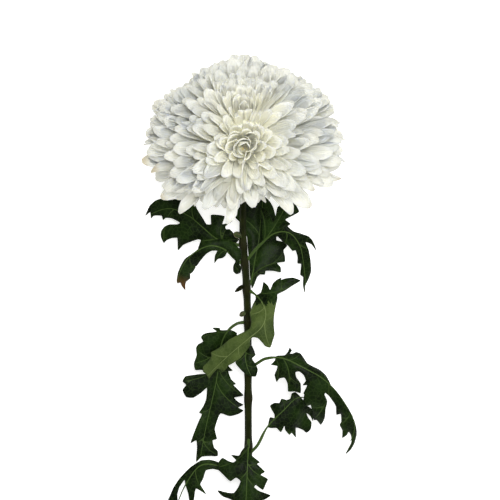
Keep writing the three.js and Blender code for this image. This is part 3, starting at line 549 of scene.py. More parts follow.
# How far the head reaches from its centre as the viewer sees it, by the turn in degrees
OUTLINE = ([0, 18, 30, 42, 60, 80, 87, 97, 103, 130, 142, 157, 180, 193, 202, 217, 232, 248, 270,
            280, 303, 314, 331, 342, 350, 360],
           [68, 66, 67, 62, 60, 61, 64, 64, 61, 60, 61, 68, 66, 62, 56, 47, 42, 36, 30,
            33, 34, 41, 46, 54, 61, 67])


def point_round(axes, distance, height, turn):
    """A point of the head from its distance to an axis, its height along it and its turn."""
    distance, height, turn = np.broadcast_arrays(distance, height, turn)
    axis, side, back = axes
    return (HEAD_CENTRE + height[..., None] * axis
            + (distance * np.cos(turn))[..., None] * side
            + (distance * np.sin(turn))[..., None] * back)


def head_radius(polar):
    return (mix(HEART_RADIUS, SHOULDER_RADIUS, smooth_step(polar, 0.0, SHOULDER))
            + smooth_step(polar, SHOULDER, WIDEST) * (WIDEST_RADIUS - SHOULDER_RADIUS)
            + smooth_step(polar, WIDEST, RIM) * (RIM_RADIUS - WIDEST_RADIUS))


def angle_between(direction, axis):
    return math.acos(max(-1.0, min(1.0, float(direction @ axis))))


def nearest_axes(direction):
    """The axis that a floret parts from: hollow or heart, or between them if it leans aside."""
    tilt = math.atan2(direction[1], direction[2])
    share = max(0.0, min(1.0, (tilt - HOLLOW_TILT) / (HEART_TILT - HOLLOW_TILT)))
    aside = float(smooth_step(abs(direction[0]), ASIDE_FROM, ASIDE_TO))
    share = mix(float(smooth_step(share, PARTING_FROM, PARTING_TO)), share, aside)
    return tilted_axes(mix(HOLLOW_TILT, HEART_TILT, share))


def clear_of_hollow(direction):
    """Nothing for a floret that would fill the hollow, or its direction moved to the rim of it."""
    angle = angle_between(direction, HOLLOW_AXIS)
    if angle < HOLLOW_CLEAR:
        return None
    if angle < HOLLOW_RING:
        moved = HOLLOW_RING + RING_SPREAD * (angle - HOLLOW_CLEAR)
        away = unit(direction - (direction @ HOLLOW_AXIS) * HOLLOW_AXIS)
        return math.cos(moved) * HOLLOW_AXIS + math.sin(moved) * away
    return direction


def pressed(grid, lowest):
    """The table bends what would pass through it until it lies along it."""
    height = grid[..., 2] - lowest + PRESS_SINK
    bent = grid.copy()
    bent[..., 2] = (lowest - PRESS_SINK + (height + np.hypot(height, PRESS_SOFT)) / 2
                    - PRESS_SOFT / 4)
    bent[..., 2] = np.maximum(bent[..., 2], lowest)
    return bent


# %% One floret
FLORET_ROWS, FLORET_COLUMNS = 10, 9
FLORET_HALF_THICKNESS = 0.22
MARGIN_THINNING = 0.45
ROOT_RADIUS, ROOT_SHARE = 9.0, 0.8        # the roots stand closer together than the tips
BOW_RADIUS = 0.62
HOOK_FROM = 0.6
GROOVES, GROOVE_DEPTH = 2.5, 0.03
FREE_FROM, FREE_TO = 1.0, 9.0             # heights over which the table still flattens florets
ROWS, COLUMNS = sheet_places(FLORET_ROWS, FLORET_COLUMNS)
SPOON = ([0.0, 0.3, 0.6, 0.82, 1.0], [0.5, 0.7, 0.96, 1.0, 0.84])      # width along a floret


def floret_grid(axes, polar, turn, radius, width, bend, cup, hook, lean, twist, start, tip_round,
                notch=0.0, droop=0.0, wave=0.0):
    """The middle surface of one floret, in the part's millimetres."""
    root = ROOT_RADIUS * np.array([math.sin(polar * ROOT_SHARE), math.cos(polar * ROOT_SHARE)])
    bow = BOW_RADIUS * radius * np.array([math.sin(polar - bend), math.cos(polar - bend)])
    tip = radius * np.array([math.sin(polar), math.cos(polar)])

    end = 1.0 - tip_round * (1.0 - np.sqrt(1.0 - 0.94 * COLUMNS ** 2))
    end = end - notch * np.cos(COLUMNS * math.pi * GROOVES) ** 2
    share = ROWS * end
    place = start + (1.0 - start) * share
    keep = (1 - place) ** 2
    middle = 2 * place * (1 - place)
    distance = keep * root[0] + middle * bow[0] + place ** 2 * tip[0]
    height = keep * root[1] + middle * bow[1] + place ** 2 * tip[1]
    slope = unit(np.stack([(1 - place) * (bow[axis] - root[axis]) + place * (tip[axis] - bow[axis])
                           for axis in (0, 1)], -1))
    rise = hook * np.clip((place - HOOK_FROM) / (1 - HOOK_FROM), 0.0, None) ** 2
    distance = distance - slope[..., 1] * rise
    height = height + slope[..., 0] * rise
    turned = turn + lean * place
    centre = point_round(axes, distance, height, turned)
    centre[..., 1] -= droop * share ** 3

    across = -np.sin(turned)[..., None] * axes[1] + np.cos(turned)[..., None] * axes[2]
    face = unit(point_round(axes, -slope[..., 1], slope[..., 0], turned) - HEAD_CENTRE)
    free = smooth_step(centre[..., 2], FREE_FROM, FREE_TO)
    angle = (twist * share ** 1.5 * free)[..., None]
    across, face = (across * np.cos(angle) - face * np.sin(angle),
                    face * np.cos(angle) + across * np.sin(angle))
    half = (width / 2 * np.interp(share, *SPOON))[..., None]
    column = COLUMNS[..., None]
    groove = GROOVE_DEPTH * np.cos(column * math.pi * GROOVES) * (1.0 - column ** 2)
    ruffle = wave * np.sin(share * 9.0 + turn * 7.0)[..., None] * column ** 2
    lift = (cup * np.abs(column) ** 1.8 + groove) * half * free[..., None] + ruffle
    return centre + across * column * half + face * lift, share


HEART_AT, HOLLOW_AT = 24.0, 0.5      # the view's heights above the head's centre
GLOW_FROM, GLOW_TO = 3.0, 52.0       # how far from the line between them the yellow reaches
OCHRE_FROM, OCHRE_TO = 1.0, 5.5      # how far from the hollow the ochre reaches
# What a place adds to the value that turns a floret from white to cream to yellow
AT_TIP, AT_ROOT, IN_GLOW, IN_OCHRE = -0.25, 0.8, 0.85, 1.2


def glow_at(points):
    """How yellow the head is there: most along the line from the hollow to the heart."""
    view = points[..., :2] - HEAD_CENTRE[:2]
    down = view[..., 1] - np.clip(view[..., 1], HOLLOW_AT, HEART_AT)
    return 1.0 - smooth_step(np.hypot(view[..., 0], down), GLOW_FROM, GLOW_TO)


def ochre_at(points):
    view = points[..., :2] - HEAD_CENTRE[:2]
    return 1.0 - smooth_step(np.hypot(view[..., 0], view[..., 1] - HOLLOW_AT),
                             OCHRE_FROM, OCHRE_TO)


def add_floret(body, direction, radius, brown=0.0, depth_shift=0.0, **shape):
    """Adds a floret whose tip lies in a direction from the head's centre."""
    axes = nearest_axes(direction)
    polar = angle_between(direction, axes[0])
    turn = math.atan2(direction @ axes[2], direction @ axes[1])
    shape["bend"] = min(shape["bend"], max(0.0, polar - math.radians(3)))
    grid, share = floret_grid(axes, polar, turn, radius, **shape)
    grid = pressed(grid, TABLE + FLORET_HALF_THICKNESS)
    depth = (1.0 - share) * AT_ROOT + glow_at(grid) * IN_GLOW + AT_TIP + depth_shift
    depth = depth + IN_OCHRE * ochre_at(grid) * (1.0 - share)
    thickness = FLORET_HALF_THICKNESS * (1.0 - MARGIN_THINNING * np.abs(COLUMNS) ** 2)
    add_sheet(body, grid, thickness, along=share, across=COLUMNS, depth=depth, brown=brown)


# %% [markdown]
# Most florets come from the spiral, with seeded differences in length, width, cup and twist. Those
# on the far side stand up and roll in at the tip. Those on the near side bend outwards and hang.
# The oldest, at the rim, have gone their own way: a few hang long over the stem, some are twisted,
# and a handful have browned. Those are placed one by one, each by where its tip is.

# %% The florets of the spiral
DENSITY = 516                        # florets for each unit of the cap's height
SPIRAL_REACH = RIM + math.radians(24)
YOUNG_SPREAD = math.radians(24)      # round the heart, where the young florets stand
YOUNG_ABOVE = 0.51                   # how far a direction leans to the top of the view there
OUTWARD_TO = math.radians(36)        # from the heart to where florets are fully grown
RIM_FROM = math.radians(72)
JITTER = 0.07
random.seed(11)


def drawn(spread):
    return (random.random() - 0.5) * spread


bloom = Body()
placed = 0
for number in range(int(DENSITY * (1 - math.cos(SPIRAL_REACH)))):
    polar = math.acos(1 - (number + 0.5) / DENSITY)
    turn = number * GOLDEN_TURN
    direction = point_round(SPIRAL, math.sin(polar), math.cos(polar), turn) - HEAD_CENTRE
    direction = clear_of_hollow(unit(direction + [drawn(JITTER) for _ in range(3)]))
    chance, longer, farther, older, deeper, wider, bent, cupped, hooked, leant, twisted, rounder = (
        drawn(1.0) for _ in range(12))
    if direction is None or angle_between(direction, HEAD[0]) > RIM:
        continue
    axes = nearest_axes(direction)
    from_axis = angle_between(direction, HEAD[0])
    from_heart = angle_between(direction, HEART_AXIS)
    # Each from 0 to 1: at the rim, fully grown, on the far side, on the near side
    rim = float(smooth_step(from_axis, RIM_FROM, RIM))
    outward = float(smooth_step(from_heart, 0.0, OUTWARD_TO))
    far = 0.5 + 0.5 * float(unit(direction - (direction @ axes[0]) * axes[0]) @ axes[2])
    near = (1 - far) * outward
    if chance < -0.5 + 0.35 * near:
        continue
    if from_heart < YOUNG_SPREAD and direction[1] > YOUNG_ABOVE:
        continue
    radius = float(head_radius(from_axis)) * (1 + (0.07 + 0.06 * rim) * longer)
    tip_x, tip_y = (direction * radius)[:2]
    reach = float(np.interp(math.degrees(math.atan2(tip_y, tip_x)) % 360, *OUTLINE))
    radius *= max(0.72, min(1.0, reach * (1 + 0.05 * farther) / math.hypot(tip_x, tip_y)))
    hook = mix(1.5, mix(0.0, 6.5 - 3.0 * rim, far), outward) * (1 + 0.9 * hooked)
    add_floret(
        bloom, direction, radius,
        brown=max(0.0, 2 * older - 0.75) * rim,
        depth_shift=0.2 * deeper,
        width=(mix(5.2, 9.2, outward) + 0.4 * near) * (1 + 0.4 * wider),
        bend=mix(0.0, math.radians(14) + near * math.radians(16), outward) + 0.12 * bent,
        cup=mix(0.6, 0.42, outward) * (1 + 0.9 * cupped),
        hook=hook - 3.0 * rim * near,
        lean=(0.2 + 0.3 * near) * leant,
        twist=(0.9 + 0.8 * rim + 1.6 * near) * twisted,
        start=mix(0.35, 0.15, outward),
        tip_round=0.15 + 0.05 * rounder, notch=max(0.0, 0.05 * bent),
        droop=near * rim * 3.0, wave=(0.4 + 1.0 * near) * (0.5 + cupped))
    placed += 1
print("florets of the spiral:", placed)

# %% Narrow young florets that fan out above the heart
YOUNG_ROWS = [(1, 3), (6, 5), (11, 7), (17, 9), (23, 10)]      # degrees from the heart, florets
FAN_FROM, FAN_TO = 12, 168
YOUNG_RADIUS, YOUNG_RADIUS_STEP = 46.0, 2.8
YOUNG_WIDTH, YOUNG_WIDTH_STEP = 4.3, 0.4

for row_number, (from_heart, count) in enumerate(YOUNG_ROWS):
    polar = math.radians(from_heart)
    for number in range(count):
        turn = math.radians(mix(FAN_FROM, FAN_TO, (number + 0.5) / count)) + drawn(0.12)
        direction = (point_round(tilted_axes(HEART_TILT), math.sin(polar), math.cos(polar), turn)
                     - HEAD_CENTRE)
        add_floret(
            bloom, direction, YOUNG_RADIUS + YOUNG_RADIUS_STEP * row_number + drawn(4.0),
            depth_shift=0.1, width=YOUNG_WIDTH + YOUNG_WIDTH_STEP * row_number + drawn(1.2),
            bend=polar * 0.4, cup=0.36, hook=2.2 + drawn(1.6), lean=drawn(0.2),
            twist=drawn(0.7), start=0.35, tip_round=0.2)

# %% The florets that have gone their own way
# Tip relative to the head's centre, width, twist, bend in degrees, cup, brown
STRAYS = [
    ((-7.5, 66.0, 2.0), 7.6, 0.1, 6, 0.5, 0.0),
    ((5.5, 66.5, 0.0), 11.0, -0.1, 6, 0.5, 0.0),
    ((69.5, 6.5, 12.0), 6.5, 0.9, 14, 0.7, 0.1),
    ((67.5, -12.5, 14.0), 8.5, -1.3, 16, 0.9, 0.35),
    ((60.5, -21.5, 22.0), 11.5, 0.2, 14, 0.35, 0.0),
    ((47.0, -27.0, 36.0), 8.0, 0.6, 20, 0.6, 0.3),
    ((46.0, -36.0, 30.0), 11.5, -0.3, 18, 0.4, 0.25),
    ((31.5, -42.5, 36.0), 10.0, 0.5, 22, 0.6, 0.1),
    ((7.0, -37.5, 48.0), 11.0, -0.2, 26, 0.5, 0.0),
    ((-13.5, -48.0, 40.0), 9.0, 0.7, 22, 0.7, 0.05),
    ((-8.0, -39.0, 46.0), 9.5, -0.3, 24, 0.5, 0.0),
    ((-28.0, -38.0, 42.0), 10.0, 0.3, 24, 0.5, 0.05),
    ((-43.0, -42.0, 24.0), 9.0, -0.6, 20, 0.7, 0.1),
    ((-57.0, -29.5, 20.0), 10.0, 0.3, 16, 0.5, 0.3),
    ((-62.5, -16.0, 22.0), 9.5, -1.0, 16, 0.8, 0.45),
    ((-70.0, -3.5, 10.0), 10.0, 0.4, 12, 0.6, 0.4),
    ((-68.0, 6.5, 8.0), 9.0, -0.5, 12, 0.6, 0.1),
    ((-4.5, 8.5, 62.5), 5.5, 1.3, 4, 0.9, 0.0),
    ((12.5, 7.5, 61.5), 6.0, -1.2, 4, 0.9, 0.0),
    ((0.6, 0.6, 52.0), 4.0, 0.2, 0, 1.0, 0.0),
]
for tip, width, twist, bend, cup, brown in STRAYS:
    radius = float(np.linalg.norm(tip))
    add_floret(
        bloom, np.array(tip) / radius, radius, brown=brown, depth_shift=0.05, width=width,
        bend=math.radians(bend), cup=cup, hook=0.5, lean=0.05 * twist, twist=twist, start=0.2,
        tip_round=0.2, notch=0.01, droop=1.5, wave=0.6)

# %% The filling below the florets
CORE_ROWS, CORE_SIDES = 24, 72
CORE_FILL, HEART_FILL, HOLLOW_RISE = 0.64, 0.75, 0.05      # shares of the head's radius
CORE_FROM, CORE_TO = math.radians(78), math.radians(0.5)
BACK_RADIUS, BACK_HEIGHT = 13.0, -4.4
HOLLOW_BAND = (math.radians(3), math.radians(14))      # where the core sinks from hollow to rest
HEART_BAND = (math.radians(12), math.radians(36))      # where it sinks from the heart to the rest
CORE_DEPTH = 0.9

polar = np.linspace(CORE_FROM, CORE_TO, CORE_ROWS)[:, None]
turn = full_turn(CORE_SIDES)
surface = point_round(HEAD, np.sin(polar), np.cos(polar), turn + 0 * polar) - HEAD_CENTRE
from_hollow = np.arccos(np.clip(surface @ HOLLOW_AXIS, -1.0, 1.0))
from_heart = np.arccos(np.clip(surface @ HEART_AXIS, -1.0, 1.0))
raised = HOLLOW_RISE * (1.0 - smooth_step(from_hollow, *HOLLOW_BAND))
fill = mix(HEART_FILL, CORE_FILL, smooth_step(from_heart, *HEART_BAND))
rings = HEAD_CENTRE + surface * ((fill + raised) * head_radius(polar))[..., None]
rings = np.concatenate([point_round(HEAD, BACK_RADIUS, BACK_HEIGHT, turn), rings])
add_rings(bloom, rings[:, ::-1], along=0.0, across=0.0,
          depth=CORE_DEPTH * (1.0 + ochre_at(rings)[:, ::-1]), brown=0.0)
make_piece("bloom_florets", bloom, [petal_material], "bloom")

# %% [markdown]
# ## The green cup
# Behind the head, overlapping bracts make the involucre. They are short pointed scales with papery
# margins, in rows that cover each other like tiles. Each is a small curved sheet.

# %% Involucre
CUP_TOP = -4.8
CUP_PROFILE = [(0.3, -16.0), (3.0, -15.0), (6.0, -11.5), (8.6, -8.0), (11.2, -4.6), (12.8, -2.0),
               (12.9, -0.1), (0.3, -0.1)]
BRACT_ROWS = [
    {"bracts": 9, "root": (3.4, -14.6), "tip": (10.6, -6.0), "width": 6.2},
    {"bracts": 13, "root": (6.6, -11.0), "tip": (13.6, -2.4), "width": 6.0},
    {"bracts": 16, "root": (9.4, -7.8), "tip": (14.8, -0.6), "width": 5.6},
]
BRACT_OUTLINE = ([0.0, 0.45, 0.8, 1.0], [0.75, 1.0, 0.62, 0.06])
BRACT_HALF_THICKNESS = 0.22

green_cup = Body()
turn = full_turn(40)
profile = np.array(CUP_PROFILE)
rings = point_round(HEAD, profile[:, :1] + 0 * turn, profile[:, 1:] + CUP_TOP + 0 * turn,
                   turn + 0 * profile[:, :1])
add_rings(green_cup, rings[:, ::-1], across=0.0)
rows, columns = sheet_places(9, 7)
for row_number, row in enumerate(BRACT_ROWS):
    for number in range(row["bracts"]):
        turn = (number + row_number / 2) * 2 * math.pi / row["bracts"]
        root_point = point_round(HEAD, row["root"][0], CUP_TOP + row["root"][1], turn)
        tip_point = point_round(HEAD, row["tip"][0], CUP_TOP + row["tip"][1], turn)
        across = -math.sin(turn) * HEAD[1] + math.cos(turn) * HEAD[2]
        outward = unit(np.cross(across, tip_point - root_point))
        half = row["width"] / 2 * np.interp(rows, *BRACT_OUTLINE)
        grid = (root_point + (tip_point - root_point) * rows[..., None]
                - across * (columns * half)[..., None]
                + outward * (0.5 - 0.9 * columns ** 2 * (1 - 0.4 * rows)
                             + 0.5 * rows ** 2)[..., None])
        add_sheet(green_cup, grid, BRACT_HALF_THICKNESS, across=columns)
make_piece("green_cup", green_cup, [bract_material], "involucre")

# %% [markdown]
# ## The stem
# The stem is a ridged tube that bends at the neck and swells at every knot, where a leaf stood or
# still stands. Its ridges come from the radius, its fine streaks from the finish. Small pointed
# stipules sit at three knots.

# %% Stem
STEM_ROUTE = [
    [0, -10, 34.4], [-0.2, -18, 27.6], [-0.6, -26, 24.8], [-0.8, -40, 23.4], [-0.8, -60, 23],
    [1.6, -90, 21.5], [2.6, -120, 19.5], [2.8, -160, 16.6], [3.0, -205, 13.2],
    [3.6, -260, 9.2], [4.6, -310, 5.4], [5.6, -350, 2.05],
]
STEM_KNOTS = [-63, -76, -94, -117, -150, -170, -204, -224, -268, -318]
STEM_RADIUS, NECK_RADIUS = 2.45, 2.2
STEM_RIDGES, RIDGE_HEIGHT = 6, 0.16
KNOT_LENGTH, KNOT_HEIGHT, KNOT_ROUGHNESS = 4.5, 0.62, 0.10
STEM_ROWS, STEM_SIDES = 330, 48
STIPULES = [
    ([-1, -92, 21.8], [-6.5, -96, 25], 3.0),
    ([3.2, -119.5, 20], [8.5, -116, 22.5], 2.6),
    ([2.6, -204, 14], [-3, -209, 18.5], 2.6),
]
STIPULE_OUTLINE = ([0.0, 0.35, 0.7, 1.0], [0.7, 1.0, 0.7, 0.08])
STIPULE_HALF_THICKNESS = 0.28


def in_part(points):
    """From the head's own millimetres to the part's."""
    return np.array(points, float) + HEAD_IN_PLAN


def in_plan(points):
    """The same for points without a height."""
    return np.array(points, float) + HEAD_IN_PLAN[:2]


def knot_swell(y):
    return sum(np.exp(-(((y - HEAD_CENTRE[1] - knot) / KNOT_LENGTH) ** 2))
               for knot in STEM_KNOTS)


stem_line = Line(in_part(STEM_ROUTE))
stem = Body()
place = np.linspace(0.02, 1.0, STEM_ROWS)
centre, _, up, right = stem_line.frame(place)
angle = full_turn(STEM_SIDES)
knots = knot_swell(centre[:, 1])[:, None]
radius = (mix(NECK_RADIUS, STEM_RADIUS,
              smooth_step(-(centre[:, 1] - HEAD_CENTRE[1]), 20.0, 90.0))[:, None]
          + KNOT_HEIGHT * knots
          + RIDGE_HEIGHT * (1 - 0.7 * knots) * np.cos(angle * STEM_RIDGES)
          + KNOT_ROUGHNESS * knots * np.sin(angle * 3 + place[:, None] * 130)
          - 0.1)
rings = beside_line(centre, right, up, radius * np.cos(angle), radius * np.sin(angle))
rings[..., 2] = np.maximum(rings[..., 2], TABLE)
add_rings(stem, rings, across=angle / math.pi - 1, knot=np.clip(knots - 0.35, 0, 1))

rows, columns = sheet_places(10, 7)
for root_point, tip_point, width in STIPULES:
    line = Line(in_part([root_point, tip_point]))
    centre, _, up, right = line.frame(rows[:, 0])
    half = width / 2 * np.interp(rows, *STIPULE_OUTLINE)
    grid = beside_line(centre, right, up, columns * half, 0.5 * columns ** 2 + 0.6 * rows ** 2)
    add_sheet(stem, grid, STIPULE_HALF_THICKNESS, across=columns * 0.8, knot=0.3)
make_piece("ridged_stem", stem, [stem_material], "stem")

# %% [markdown]
# ## The leaves
# Each leaf has a stalk, a midrib and a blade with pointed lobes and teeth. The blade is cut out
# like paper: its margin is a closed smooth line, seen from above, and the area inside it is cut
# into small triangles, with the veins as lines that no triangle crosses. Every point then gets its
# height from the rib nearby, the way the CAD bends its flat plate, and the blade swells a little
# between its veins and waves along its margin.

